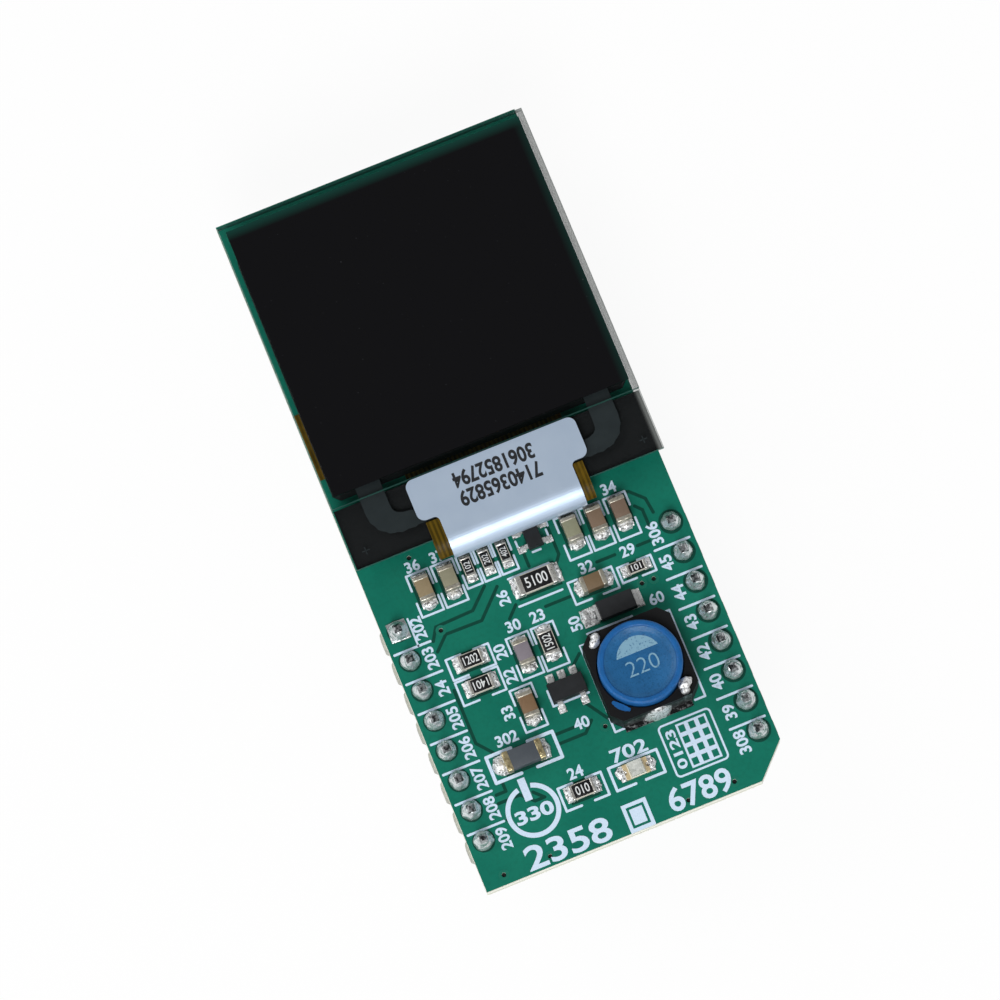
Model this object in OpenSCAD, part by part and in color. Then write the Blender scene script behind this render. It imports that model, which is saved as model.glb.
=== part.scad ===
// Small plug-in display board. A square display panel is stuck over the far
// half of a circuit board, its film folds down under it, and the near half
// carries the power parts between two rows of header pins.
// The origin is the centre of the pin pattern, on the plane where the header
// housings seat. +Y runs from the pins to the display, and +Z is up.

/* [Headers] */
// Number of pins in each row
pin_count = 8; // [6:1:8]
// Distance between neighbouring pins
pitch = 2.54; // [2.5:0.01:2.6]
// Distance between the two rows
row_spacing = 22.86; // [22.6:0.02:24]
// Side of the square pins
pin_w = 0.64; // [0.5:0.02:0.7]
// Length of pin below the housings
pin_below = 5.9; // [3:0.1:8]
// Length of pin above the board
pin_above = 1.4; // [1.2:0.05:1.8]
// Length of the chamfered pin tips
pin_tip = 0.4; // [0.1:0.05:0.6]
// Height of the housings
housing_h = 2.54; // [1.5:0.02:4]
// Width of the housings across the row
housing_w = 2.5; // [2.2:0.02:2.6]
// Notch between two housing segments, along each edge
housing_notch = 0.45; // [0.2:0.05:0.6]
// Gap between a pin and its hole in the housing
pin_gap = 0.01; // [0.01:0.005:0.05]
// Radius of the solder domes on the board
dome_r = 0.76; // [0.7:0.02:0.82]
// Height of the solder domes
dome_h = 1.05; // [0.9:0.05:1.1]
// Side of the square land round the first pin
land_w = 1.55; // [1.5:0.05:1.7]

/* [Board] */
// Thickness of the board
board_t = 1.6; // [0.8:0.1:2.4]
// Distance from a row of pins to the side edge
side_margin = 1.27; // [1.27:0.01:1.8]
// Distance from the last pins to the near edge
near_margin = 3.81; // [3.81:0.01:6]
// Distance from the display glass to the far edge
far_margin = 0.91; // [0.2:0.01:3]
// Length of the cut corner along each edge
corner_cut = 2.54; // [1:0.02:2.6]
// Diameter of the pin holes
pin_hole_d = 1.02; // [1.0:0.01:1.2]
// Diameter of the small plated holes
via_d = 0.36; // [0.2:0.02:0.5]
// Number of plated holes along the near edge
via_row_count = 6; // [1:1:6]
// Distance between them
via_pitch = 3.83; // [3.5:0.01:3.9]
// Distance from the near edge to them
via_near = 0.77; // [0.5:0.01:1]

/* [Display] */
// Width of the glass
glass_w = 25.7; // [24:0.1:26]
// Length of the rear glass with its contact ledge
glass_l = 29.46; // [28:0.01:32]
// Length of the contact ledge in front of the cover glass
ledge_l = 5.07; // [4.9:0.01:5.6]
// Distance from the pin pattern's centre to the edge of the ledge
glass_y = 14.08; // [14:0.01:16]
// Sideways offset of the glass on the board
glass_x = 0.15; // [0:0.05:0.3]
// Thickness of the rear glass
rear_glass_t = 0.5; // [0.4:0.05:0.8]
// Thickness of the cover glass
cover_glass_t = 0.5; // [0.4:0.05:0.8]
// Thickness of the polariser
polariser_t = 0.2; // [0.1:0.02:0.3]
// Clear border at the sides of the polariser
polariser_side = 0.5; // [0.3:0.05:1]
// Clear border at the far edge of the polariser
polariser_far = 0.61; // [0.3:0.01:1]
// Clear border at the ledge side of the polariser
polariser_near = 0.85; // [0.5:0.01:1.2]
// Thickness of the foam pad between board and glass
pad_h = 1.9; // [1.8:0.05:2.4]
// Distance from the sides of the glass to the foam pad and the ledge mask
pad_side = 0.5; // [0.4:0.05:1.2]
// Distance from the cover glass to the near edge of the foam pad
pad_near = 1.05; // [0.8:0.05:2]
// Distance from the far edge of the glass to the foam pad
pad_far = 0.97; // [0.5:0.01:2]
// Chamfer at the far corners of the foam pad
pad_chamfer = 1.9; // [0.5:0.1:3]
// Chamfer at the near corners of the foam pad
pad_nick = 0.5; // [0.2:0.1:1]
// Thickness of the black mask behind the ledge
mask_t = 0.1; // [0.06:0.01:0.2]
// Distance from the ledge's edge to the mask
mask_near = 0.1; // [0.05:0.05:0.5]
// Clearance between the film and what lies over it
film_gap = 0.02; // [0.01:0.01:0.05]

/* [Film and tape] */
// Thickness of the film
film_t = 0.1; // [0.06:0.01:0.14]
// Width of the film's neck
film_w = 13.07; // [12:0.01:14]
// Sideways offset of the neck from the glass
film_x = 0.05; // [0:0.05:0.3]
// Length of film bonded to the ledge
film_bond = 1.42; // [1:0.01:2]
// Straight length of film between the ledge and its bend
film_lead = 0.05; // [0.02:0.01:0.2]
// Inner radius of the film's wide upper bend
film_r = 1.8; // [1.6:0.05:2]
// Angle of the upper bend, before the tight one takes over
film_turn = 45; // [40:1:50]
// Height of the film's folded run above the board
film_rise = 1.05; // [1:0.01:1.15]
// Straight length of the folded run
film_run = 1; // [0.8:0.1:1.5]
// Slope at which the film comes down to the board
film_slope = 45; // [40:1:50]
// Distance from the sides of the board to the film's soldered end
tail_margin = 0.1; // [0.05:0.05:3]
// Length of the film's soldered end
tail_l = 5.6; // [3:0.1:7]
// Distance from the ledge's edge to the soldered end
tail_y = 8.2; // [7:0.1:10]
// Thickness of the silver tape
tape_t = 0.06; // [0.04:0.01:0.1]
// Thickness of the black adhesive under the tape
adhesive_t = 0.1; // [0.05:0.01:0.12]
// Width of the tape's head
tape_head_w = 14.17; // [13:0.01:16]
// Length of the tape's head
tape_head_l = 3.42; // [3:0.01:3.6]
// Gap between the tape's head and the cover glass
tape_gap = 0.1; // [0.05:0.01:0.3]
// Width of the tape's tongue
tape_w = 11.1; // [10:0.05:11.5]
// Sideways offset of the tape from the glass
tape_x = 0.15; // [0:0.01:0.2]
// Corner radius of the tape's head
tape_r = 0.65; // [0.3:0.05:0.8]
// Corner radius where the tongue leaves the tape's head
tape_root_r = 0.4; // [0.1:0.05:0.6]
// Angle through which the tape's tongue is bent
tape_turn = 130; // [90:5:130]
// Driver chip on the ledge: length, width, height
driver = [12, 1.2, 0.2];

/* [Chip parts] */
// Large chip capacitors: length, width, height
cap_size = [2, 1.25, 1.25];
// Medium chip resistors: length, width, height
res_size = [2, 1.25, 0.5];
// Small chip resistors: length, width, height
res_small = [1.65, 0.85, 0.45];
// Large chip resistor: length, width, height
res_large = [3.2, 1.6, 0.6];
// Ferrite bead: length, width, height
bead_size = [3.2, 1.6, 1.1];
// Thickness of the tinned pads
pad_t = 0.04; // [0.02:0.01:0.08]
// Length of solder past the end of a chip part
toe = 0.4; // [0.2:0.05:0.5]
// Length of the metal ends as a share of the part's width
end_share = 0.3; // [0.2:0.02:0.35]
// Amount by which the metal ends stand proud of the body
end_proud = 0.02; // [0.01:0.005:0.04]
// Edge radius of the chip parts
chip_r = 0.06; // [0.03:0.01:0.1]

/* [Inductor] */
// Side of the square base
ind_w = 7.3; // [6.8:0.1:7.4]
// Height of the base
ind_base_h = 3; // [2.5:0.1:3.6]
// Overall height
ind_h = 4.1; // [3.9:0.1:5]
// Length of the cut base corners
ind_cut = 0.8; // [0.5:0.1:0.8]
// Thinnest wall of the base, between a terminal and the ring
base_wall = 0.1; // [0.1:0.01:0.3]
// Wall of the shield ring
ring_wall = 0.55; // [0.5:0.05:0.8]
// Rounding of the ring's upper edges
ring_round = 0.2; // [0.05:0.05:0.25]
// Gap around the drum core and the ring
ring_gap = 0.1; // [0.05:0.01:0.15]
// Depth of the drum core's top below the ring's rim
drum_drop = 0.25; // [0:0.05:0.5]
// Thickness of the floor under the drum core
ind_floor = 0.5; // [0.4:0.05:0.8]
// Thickness of the drum core's flanges
flange_t = 0.8; // [0.5:0.05:1]
// Diameter of the drum core's waist
waist_d = 2.6; // [2:0.1:3.2]
// Gap between the waist and the winding
winding_gap = 0.02; // [0.01:0.01:0.05]
// Distance from the side terminals to the cut corners
clip_inset = 0.05; // [0.05:0.05:0.6]
// Height of the side terminals
clip_h = 2.2; // [1:0.1:2.4]
// Thickness of the side terminals
clip_t = 0.15; // [0.1:0.01:0.2]
// Length of the terminal feet past the base
clip_foot = 0.4; // [0.2:0.05:0.5]
// Width of the tabs that take the winding's ends
tab_w = 0.74; // [0.5:0.01:0.74]
// Reach of the tabs over the base
tab_reach = 0.87; // [0.6:0.01:0.87]
// Height of the solder on the tabs
bump_h = 0.35; // [0.2:0.05:0.45]

/* [Leaded chips] */
// Thickness of the leads
lead_t = 0.15; // [0.1:0.01:0.2]
// Five-lead regulator: body along the row, body across, height
reg_size = [2.9, 1.6, 1.1];
// Lead pitch of the regulator
reg_pitch = 0.95; // [0.9:0.01:1]
// Lead width of the regulator
reg_lead_w = 0.4; // [0.3:0.02:0.5]
// Four-lead switch: body along the row, body across, height
sw_size = [2, 1.25, 0.9];
// Lead pitch of the switch
sw_pitch = 1.3; // [1.1:0.05:1.3]
// Lead width of the switch
sw_lead_w = 0.35; // [0.25:0.05:0.4]
// Diode: body length, width, height
diode_size = [3, 1.55, 1.1];
// Width of the diode's terminals
diode_lead_w = 1.3; // [1:0.05:1.5]
// Pads of the diode: length, width
diode_pad = [1.2, 1.45];
// Gap between the diode's pads
diode_pad_gap = 2.6; // [2.4:0.1:2.8]
// Offset of the diode from the middle of its pads
diode_shift = 0.37; // [0:0.01:0.4]
// Reach of the leads past their body
lead_reach = 0.6; // [0.5:0.02:0.65]
// Draft of the moulded bodies on each side
draft = 0.06; // [0.03:0.01:0.1]

/* [Lamp] */
// Lamp: length, width, height
lamp_size = [2, 1.25, 0.8];
// Height of the lamp's base
lamp_base_h = 0.3; // [0.2:0.05:0.4]
// Length of the lamp's clear block
lens_l = 1.2; // [0.9:0.05:1.3]
// Radius of the plated notch in each end of the base
lamp_notch_r = 0.22; // [0.1:0.02:0.3]
// Side of the light-emitting die
die_w = 0.3; // [0.2:0.02:0.4]
// Thickness of the die
die_t = 0.12; // [0.08:0.01:0.2]

/* [Hidden] */
$fn = 48;

// places of the parts as [x, y, turn], where turn 0 lies along X
cap_places = [
    [-8.33, 11.1, 90], [-6.25, 11.1, 90],
    [4.03, 11.1, 90], [6.1, 11.1, 90], [8.1, 11.1, 90],
    [4, 6.6, 0], [-3.08, 3.5, 90], [-4.3, -0.45, 90]
];
res_places = [
    [-4.53, 11.5, 90], [-3.02, 11.5, 90], [-1.52, 11.5, 90],
    [7.55, 6.5, 0], [0, 8.5, 0],
    [-7.05, 4.6, 0], [-7.05, 2.5, 0], [-1, 3.6, 90], [-2.9, -8.1, 0]
];
// the first four resistors are small and the fifth is large
res_sizes = [
    res_small, res_small, res_small, res_small, res_large,
    res_size, res_size, res_size, res_size
];
bead_place = [-6.1, -4, 0];
lamp_place = [1.55, -8.15, 0];
diode_place = [4.97, 4.25, 0];
ind_place = [4.75, -1.2, 0];
reg_place = [-1, -0.35, 0];
sw_place = [1, 11.85, 90];

// plated holes away from the near edge
via_places = [
    [-9.05, -8.07], [-8.33, 7.68], [8.48, 5.2], [7.5, 5.2],
    [-8.5, 13.95], [0.6, -4.15]
];
via_row_x = -10.98;

row_x = row_spacing / 2;
last_pin = (pin_count - 1) / 2 * pitch;
board_w = row_spacing + 2 * side_margin;
board_near = -last_pin - near_margin;
board_far = glass_y + glass_l + far_margin;
board_top = housing_h + board_t;
part_z = board_top + pad_t;

ledge_z = board_top + pad_h + rear_glass_t;
cover_z = ledge_z + cover_glass_t;
cover_y = glass_y + ledge_l;
cover_l = glass_l - ledge_l;
film_mid = glass_x + film_x;
tail_w = board_w - 2 * tail_margin;
tape_mid = glass_x + tape_x;

// the tight bend takes the film from the upper bend to the folded run
film_tight = (ledge_z - board_top - film_rise - film_t - film_r * (1 - cos(film_turn)))
    / (1 + cos(film_turn));
// two equal bends bring the folded run down to the board
slope_sum = film_rise / (1 - cos(film_slope));
slope_r = (slope_sum - film_t) / 2;
run_y = glass_y - film_lead - (film_r - film_tight) * sin(film_turn);
foot_y = run_y + film_run + slope_sum * sin(film_slope);

// length by which a cutting shape runs past the face that it cuts
past = 1;
// height up which solder climbs a chip part's end, as a share of the part's height
climb_share = 0.8;
// place of a lead's knee, as a share of its reach
knee_share = 0.35;
// turn from one point of a bent strip to the next
facet_turn = 6;
// height of the tape's layers over the ledge
tape_lift = max(driver[2], film_t) + film_gap;

ring_d = ind_w - 2 * (clip_t + base_wall + ring_gap);
drum_d = ring_d - 2 * (ring_wall + ring_gap);
drum_h = ind_h - ind_floor - drum_drop;
clip_w = ind_w - 2 * (ind_cut + clip_inset);

// ---- shapes shared by several pieces ----

module rounded_rect(size, r) {
    square([size[0] - 2 * r, size[1]], center = true);
    square([size[0], size[1] - 2 * r], center = true);
    for (x = [-1, 1], y = [-1, 1])
        translate([x * (size[0] / 2 - r), y * (size[1] / 2 - r)]) circle(r);
}

module at(place) {
    translate([place[0], place[1], part_z]) rotate([0, 0, place[2]]) children();
}

// Block with rounded edges along X and Z, standing on z = 0
module soft_block(size, r) {
    intersection() {
        linear_extrude(size[2]) rounded_rect([size[0], size[1]], r);
        translate([-size[0] / 2, 0, size[2] / 2]) rotate([90, 0, 90])
            linear_extrude(size[0]) rounded_rect([size[1], size[2]], r);
    }
}

// Chip part: a fired body with a plated cap over each end
module chip(size) {
    end_l = size[1] * end_share;
    body = [size[0] - 2 * end_proud, size[1] - 2 * end_proud, size[2] - 2 * end_proud];
    translate([0, 0, end_proud]) soft_block(body, chip_r);
    for (side = [-1, 1]) translate([side * (size[0] - end_l) / 2, 0, 0])
        soft_block([end_l, size[1], size[2]], chip_r);
}

// Tinned pad under one end of a chip part with the solder that climbs its end
module end_joint(size, under) {
    climb = min(toe, size[2] * climb_share);
    translate([-under, -size[1] / 2, -pad_t]) cube([under + toe, size[1], pad_t]);
    rotate([90, 0, 0]) translate([0, 0, -size[1] / 2]) linear_extrude(size[1])
        difference() {
            square([climb, climb]);
            translate([climb + pad_t, climb + pad_t]) circle(climb);
        }
}

module chip_joints(size) {
    for (turn = [0, 180]) rotate([0, 0, turn]) translate([size[0] / 2, 0, 0])
        end_joint(size, size[1] * end_share);
}

// Moulded body with draft on its four sides above and below the parting line
module moulded(size) {
    intersection() {
        translate([0, size[1] / 2, 0]) rotate([90, 0, 0])
            linear_extrude(size[1]) drafted(size[0], size[2]);
        translate([-size[0] / 2, 0, 0]) rotate([90, 0, 90])
            linear_extrude(size[0]) drafted(size[1], size[2]);
    }
}

module drafted(w, h) {
    polygon([
        [-w / 2 + draft, 0], [w / 2 - draft, 0], [w / 2, h / 2],
        [w / 2 - draft, h], [-w / 2 + draft, h], [-w / 2, h / 2]
    ]);
}

// Gull-wing lead in profile: out of the body at half height, down, and out flat
module lead(rise, w) {
    knee = lead_reach * knee_share;
    translate([0, w / 2, 0]) rotate([90, 0, 0]) linear_extrude(w) union() {
        translate([0, rise - lead_t / 2]) square([knee + lead_t / 2, lead_t]);
        translate([knee - lead_t / 2, lead_t / 2]) square([lead_t, rise - lead_t / 2]);
        translate([knee, rise]) circle(lead_t / 2);
        translate([knee - lead_t / 2, 0]) square([lead_reach - knee + lead_t / 2, lead_t]);
    }
}

// Part of a ball that stands on z = 0 on a foot of radius r
module ball_cap(r, h) {
    ball_r = (r * r + h * h) / (2 * h);
    intersection() {
        translate([0, 0, h - ball_r]) sphere(ball_r);
        cylinder(r = 2 * ball_r, h = 2 * h);
    }
}

// ---- headers ----

module pin_rows(x) {
    for (i = [0 : pin_count - 1]) translate([x, i * pitch - last_pin, 0]) children();
}

module segment_outline() {
    x = housing_w / 2;
    y = pitch / 2;
    n = housing_notch;
    polygon([
        [x, y - n], [x - n, y], [n - x, y], [-x, y - n],
        [-x, n - y], [n - x, -y], [x - n, -y], [x, n - y]
    ]);
}

module header_housing(side) {
    color("#d9cfb4") difference() {
        linear_extrude(housing_h) pin_rows(side * row_x) segment_outline();
        pin_rows(side * row_x) translate([0, 0, housing_h / 2])
            cube([pin_w + 2 * pin_gap, pin_w + 2 * pin_gap, housing_h + 2 * past], center = true);
    }
}

// Square pin with four-sided chamfered tips
module pin() {
    outline = [
        [-pin_w / 4, -pin_below], [pin_w / 4, -pin_below],
        [pin_w / 2, pin_tip - pin_below], [pin_w / 2, board_top + pin_above - pin_tip / 2],
        [pin_w / 4, board_top + pin_above], [-pin_w / 4, board_top + pin_above],
        [-pin_w / 2, board_top + pin_above - pin_tip / 2], [-pin_w / 2, pin_tip - pin_below]
    ];
    intersection() {
        translate([0, pin_w / 2, 0]) rotate([90, 0, 0])
            linear_extrude(pin_w) polygon(outline);
        translate([-pin_w / 2, 0, 0]) rotate([90, 0, 90])
            linear_extrude(pin_w) polygon(outline);
    }
}

module header_pins(side) {
    color("#c9c4b4") pin_rows(side * row_x) pin();
}

// Domed joint around one pin, filling its hole down to the housing
module dome() {
    difference() {
        union() {
            translate([0, 0, board_top]) ball_cap(dome_r, dome_h);
            translate([0, 0, housing_h]) cylinder(d = pin_hole_d - 2 * pin_gap, h = board_t);
        }
        translate([-pin_w / 2, -pin_w / 2, housing_h - past])
            cube([pin_w, pin_w, board_t + dome_h + 2 * past]);
    }
}

module square_land() {
    difference() {
        translate([0, 0, board_top + pad_t / 2]) cube([land_w, land_w, pad_t], center = true);
        translate([0, 0, board_top]) cylinder(d = pin_hole_d, h = 2 * past, center = true);
    }
}

module pin_solder(side) {
    color("#b9bcbc") {
        pin_rows(side * row_x) dome();
        // the first pin of the left row stands on a square land
        if (side < 0) translate([-row_x, last_pin, 0]) square_land();
    }
}

// ---- board ----

module board_outline() {
    x = board_w / 2;
    polygon([
        [-x, board_near], [x - corner_cut, board_near],
        [x, board_near + corner_cut], [x, board_far], [-x, board_far]
    ]);
}

module circuit_board() {
    color("#14705c") translate([0, 0, housing_h]) linear_extrude(board_t) difference() {
        board_outline();
        for (side = [-1, 1]) pin_rows(side * row_x) circle(d = pin_hole_d);
        for (place = via_places) translate(place) circle(d = via_d);
        for (i = [0 : via_row_count - 1])
            translate([via_row_x + i * via_pitch, board_near + via_near]) circle(d = via_d);
    }
}

// ---- display ----

module panel(w, y, l, z, t) {
    translate([glass_x - w / 2, y, z]) cube([w, l, t]);
}

module display_rear_glass() {
    color("#5f6f72", 0.5) panel(glass_w, glass_y, glass_l, board_top + pad_h, rear_glass_t);
}

module display_cover_glass() {
    color("#87979a", 0.5) panel(glass_w, cover_y, cover_l, ledge_z, cover_glass_t);
}

module polariser() {
    l = cover_l - polariser_near - polariser_far;
    color("#101114") panel(glass_w - 2 * polariser_side, cover_y + polariser_near, l,
        cover_z, polariser_t);
}

module driver_chip() {
    color("#26282b") translate([
        film_mid - driver[0] / 2,
        (glass_y + film_bond + cover_y - driver[1]) / 2,
        ledge_z
    ]) cube(driver);
}

// Foam pad, relieved underneath over the film that it presses to the board
module foam_pad() {
    x = glass_w / 2 - pad_side;
    near = cover_y + pad_near;
    far = glass_y + glass_l - pad_far;
    relief = film_t + film_gap;
    color("#17181a") difference() {
        translate([glass_x, 0, board_top]) linear_extrude(pad_h) polygon([
            [-x, near + pad_nick], [pad_nick - x, near],
            [x - pad_nick, near], [x, near + pad_nick],
            [x, far - pad_chamfer], [x - pad_chamfer, far],
            [pad_chamfer - x, far], [-x, far - pad_chamfer]
        ]);
        translate([film_mid - film_w / 2 - film_gap, near - past, board_top - past])
            cube([film_w + 2 * film_gap, glass_y + tail_y - near + 2 * past, past + relief]);
        translate([-glass_w, glass_y + tail_y - film_gap, board_top - past])
            cube([2 * glass_w, tail_l + 2 * film_gap, past + relief]);
    }
}

// Thin black sheet behind the contact ledge
module ledge_mask() {
    near = glass_y + mask_near;
    color("#17181a") translate([
        glass_x + pad_side - glass_w / 2, near, board_top + pad_h - mask_t
    ]) cube([glass_w - 2 * pad_side, cover_y - near, mask_t]);
}

// Strip bent in profile. Each step is [length, 0] for a straight run, or
// [inner radius, turn] for a bend, downwards when the turn is positive. The
// strip starts at the origin along +X, lying on z = 0.
module bent_strip(steps, w, t) {
    under = concat([[0, 0, 0]], strip_path(steps, t));
    top = [for (p = under) [p[0] + t * sin(p[2]), p[1] + t * cos(p[2])]];
    translate([0, w / 2, 0]) rotate([90, 0, 0]) linear_extrude(w) polygon(concat(
        [for (p = under) [p[0], p[1]]],
        [for (i = [len(top) - 1 : -1 : 0]) top[i]]
    ));
}

// Points [x, z, heading] along the underside of a strip
function strip_path(steps, t, i = 0, start = [0, 0, 0]) =
    i == len(steps) ? [] :
    let (
        turn = steps[i][1],
        count = max(1, ceil(abs(turn) / facet_turn)),
        leg = [for (k = [1 : count]) strip_point(start, steps[i][0], turn * k / count, t)]
    )
    concat(leg, strip_path(steps, t, i + 1, leg[count - 1]));

// Point reached from p after a straight run, or after a turn of the underside
function strip_point(p, r, turn, t) =
    let (face_r = sign(turn) * (turn > 0 ? r : r + t), heading = p[2] + turn)
    turn == 0
        ? [p[0] + r * cos(p[2]), p[1] - r * sin(p[2]), p[2]]
        : [
            p[0] + face_r * (sin(heading) - sin(p[2])),
            p[1] + face_r * (cos(heading) - cos(p[2])),
            heading
        ];

// Film: bonded to the ledge, folded under it and soldered to the board
module display_film() {
    tail_start = glass_y + tail_y;
    color("#b8801a") {
        translate([film_mid, glass_y + film_bond, ledge_z]) rotate([0, 0, -90])
            bent_strip([
                [film_bond + film_lead, 0], [film_r, film_turn],
                [film_tight, 180 - film_turn], [film_run, 0],
                [slope_r, -film_slope], [slope_r, film_slope],
                [tail_start - foot_y, 0]
            ], film_w, film_t);
        translate([-tail_w / 2, tail_start, board_top]) cube([tail_w, tail_l, film_t]);
    }
}

// T-shaped layer over the driver chip, its tongue bent round the film
module tape_layer(lift, t) {
    head_y = cover_y - tape_gap - tape_head_l / 2;
    start_y = head_y - tape_head_l / 4;
    translate([tape_mid, 0, ledge_z + lift]) {
        translate([0, head_y, 0]) linear_extrude(t)
            rounded_rect([tape_head_w, tape_head_l], tape_r);
        translate([0, head_y - tape_head_l / 2, 0]) linear_extrude(t) tongue_root();
        translate([0, start_y, 0]) rotate([0, 0, -90]) bent_strip([
            [start_y - glass_y + film_lead, 0], [film_r + lift, film_turn],
            [film_tight + lift, tape_turn - film_turn]
        ], tape_w, t);
    }
}

// Concave corners where the tongue leaves the head
module tongue_root() {
    r = tape_root_r;
    for (side = [-1, 1]) translate([side * tape_w / 2, 0]) difference() {
        translate([side > 0 ? 0 : -r, -r]) square(r);
        translate([side * r, -r]) circle(r);
    }
}

module tape_adhesive() {
    color("#141416") tape_layer(tape_lift, adhesive_t);
}

module silver_tape() {
    color("#c3cad6") tape_layer(tape_lift + adhesive_t, tape_t);
}

// ---- chip parts ----

module capacitor(i) {
    color("#9a8468") at(cap_places[i - 1]) chip(cap_size);
}

module resistor(i) {
    color("#1d1d1f") at(res_places[i - 1]) chip(res_sizes[i - 1]);
}

module ferrite_bead() {
    color("#55535a") at(bead_place) chip(bead_size);
}

// ---- diode ----

module diode_body() {
    color("#2a2a2c") at(diode_place) moulded(diode_size);
}

module diode_terminals() {
    color("#c4c6c8") at(diode_place) for (turn = [0, 180]) rotate([0, 0, turn])
        lead_outside(diode_size, 0, diode_lead_w);
}

// One lead beside a moulded body, its root face to face with the body's side
module lead_outside(size, along, w) {
    difference() {
        translate([size[0] / 2 - draft, along, 0]) lead(size[2] / 2, w);
        moulded(size);
    }
}

// ---- inductor ----

// Tray with cut corners that holds the ring
module inductor_base() {
    x = ind_w / 2;
    c = ind_cut;
    color("#1c1b1d") at(ind_place) difference() {
        linear_extrude(ind_base_h) polygon([
            [x, c - x], [x, x - c], [x - c, x], [c - x, x],
            [-x, x - c], [-x, c - x], [c - x, -x], [x - c, -x]
        ]);
        translate([0, 0, ind_floor]) cylinder(d = ring_d + 2 * ring_gap, h = ind_h);
        // seats of the two side terminals and of the risers to their tabs
        for (turn = [0, 180]) rotate([0, 0, turn]) translate([-clip_w / 2, x - clip_t, -past]) {
            cube([clip_w, clip_t + past, clip_h + past]);
            cube([tab_w, clip_t + past, ind_base_h + 2 * past]);
        }
    }
}

// Tinned strips in the sides of the base, each with a foot on its pad and a
// riser to a tab that lies on the base
module inductor_terminals() {
    color("#c9ccce") at(ind_place) for (turn = [0, 180]) rotate([0, 0, turn])
        translate([-clip_w / 2, ind_w / 2 - clip_t, 0]) {
            cube([clip_w, clip_t, clip_h]);
            cube([clip_w, clip_t + clip_foot, clip_t]);
            cube([tab_w, clip_t, ind_base_h + clip_t]);
            translate([0, clip_t - tab_reach, ind_base_h]) cube([tab_w, tab_reach, clip_t]);
        }
}

// Ferrite ring with rounded upper edges, standing on the tray's floor
module inductor_ring() {
    inner = ring_d / 2 - ring_wall;
    h = ind_h - ind_floor;
    color("#1f6bb5") at(ind_place) translate([0, 0, ind_floor]) rotate_extrude() {
        translate([inner, 0]) square([ring_wall, h - ring_round]);
        translate([inner + ring_round, 0]) square([ring_wall - 2 * ring_round, h]);
        for (r = [inner + ring_round, ring_d / 2 - ring_round])
            translate([r, h - ring_round]) circle(ring_round);
    }
}

// Spool-shaped core: two flanges on a waist
module inductor_drum() {
    color("#2a6aa5") at(ind_place) translate([0, 0, ind_floor]) {
        cylinder(d = waist_d, h = drum_h);
        cylinder(d = drum_d, h = flange_t);
        translate([0, 0, drum_h - flange_t]) cylinder(d = drum_d, h = flange_t);
    }
}

module inductor_winding() {
    h = drum_h - 2 * flange_t;
    color("#b5652f") at(ind_place) translate([0, 0, ind_floor + flange_t]) difference() {
        cylinder(d = drum_d - 2 * ring_gap, h = h);
        translate([0, 0, -past]) cylinder(d = waist_d + 2 * winding_gap, h = h + 2 * past);
    }
}

// ---- leaded chips ----

module regulator_body() {
    color("#2b2c30") at(reg_place) moulded(reg_size);
}

// Three leads on the far side and two on the near side
module regulator_leads() {
    turned = [reg_size[1], reg_size[0], reg_size[2]];
    color("#c4c6c8") at(reg_place) {
        for (i = [-1, 0, 1]) rotate([0, 0, 90])
            lead_outside(turned, i * reg_pitch, reg_lead_w);
        for (i = [-1, 1]) rotate([0, 0, -90])
            lead_outside(turned, i * reg_pitch, reg_lead_w);
    }
}

module switch_body() {
    color("#26272b") at(sw_place) moulded(sw_size);
}

module switch_leads() {
    turned = [sw_size[1], sw_size[0], sw_size[2]];
    color("#c4c6c8") at(sw_place) for (side = [-90, 90], i = [-0.5, 0.5])
        rotate([0, 0, side]) lead_outside(turned, i * sw_pitch, sw_lead_w);
}

// ---- lamp ----

// Laminate strip with a plated notch in each end
module lamp_base() {
    color("#d8cfae") at(lamp_place) difference() {
        soft_block([lamp_size[0], lamp_size[1], lamp_base_h], chip_r);
        for (side = [-1, 1]) translate([side * lamp_size[0] / 2, 0, -past])
            cylinder(r = lamp_notch_r, h = lamp_base_h + 2 * past);
    }
}

module lamp_die() {
    color("#e7d27a") at(lamp_place) translate([-die_w / 2, -die_w / 2, lamp_base_h])
        cube([die_w, die_w, die_t]);
}

// Clear block moulded over the die
module lamp_lens() {
    h = lamp_size[2] - lamp_base_h;
    color("#e8eef0", 0.6) at(lamp_place) translate([0, 0, lamp_base_h]) difference() {
        translate([0, lamp_size[1] / 2 - chip_r, 0]) rotate([90, 0, 0])
            linear_extrude(lamp_size[1] - 2 * chip_r) polygon([
                [-lens_l / 2, 0], [lens_l / 2, 0],
                [lens_l / 2 - draft, h], [draft - lens_l / 2, h]
            ]);
        translate([-die_w / 2, -die_w / 2, -past]) cube([die_w, die_w, past + die_t]);
    }
}

// ---- solder ----

// Flat pad under the foot of a lead
module lead_joint(size, along, w) {
    translate([size[0] / 2 + lead_reach * knee_share, along - w / 2 - toe / 4, -pad_t])
        cube([lead_reach, w + toe / 2, pad_t]);
}

// Pad under one foot of the inductor, and solder on the tab above it
module inductor_joint() {
    translate([-clip_w / 2, ind_w / 2 - toe, -pad_t]) cube([clip_w, clip_foot + toe, pad_t]);
    translate([(tab_w - clip_w) / 2, (ind_w - tab_reach) / 2, ind_base_h + clip_t])
        ball_cap(tab_w / 2, bump_h);
}

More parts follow.
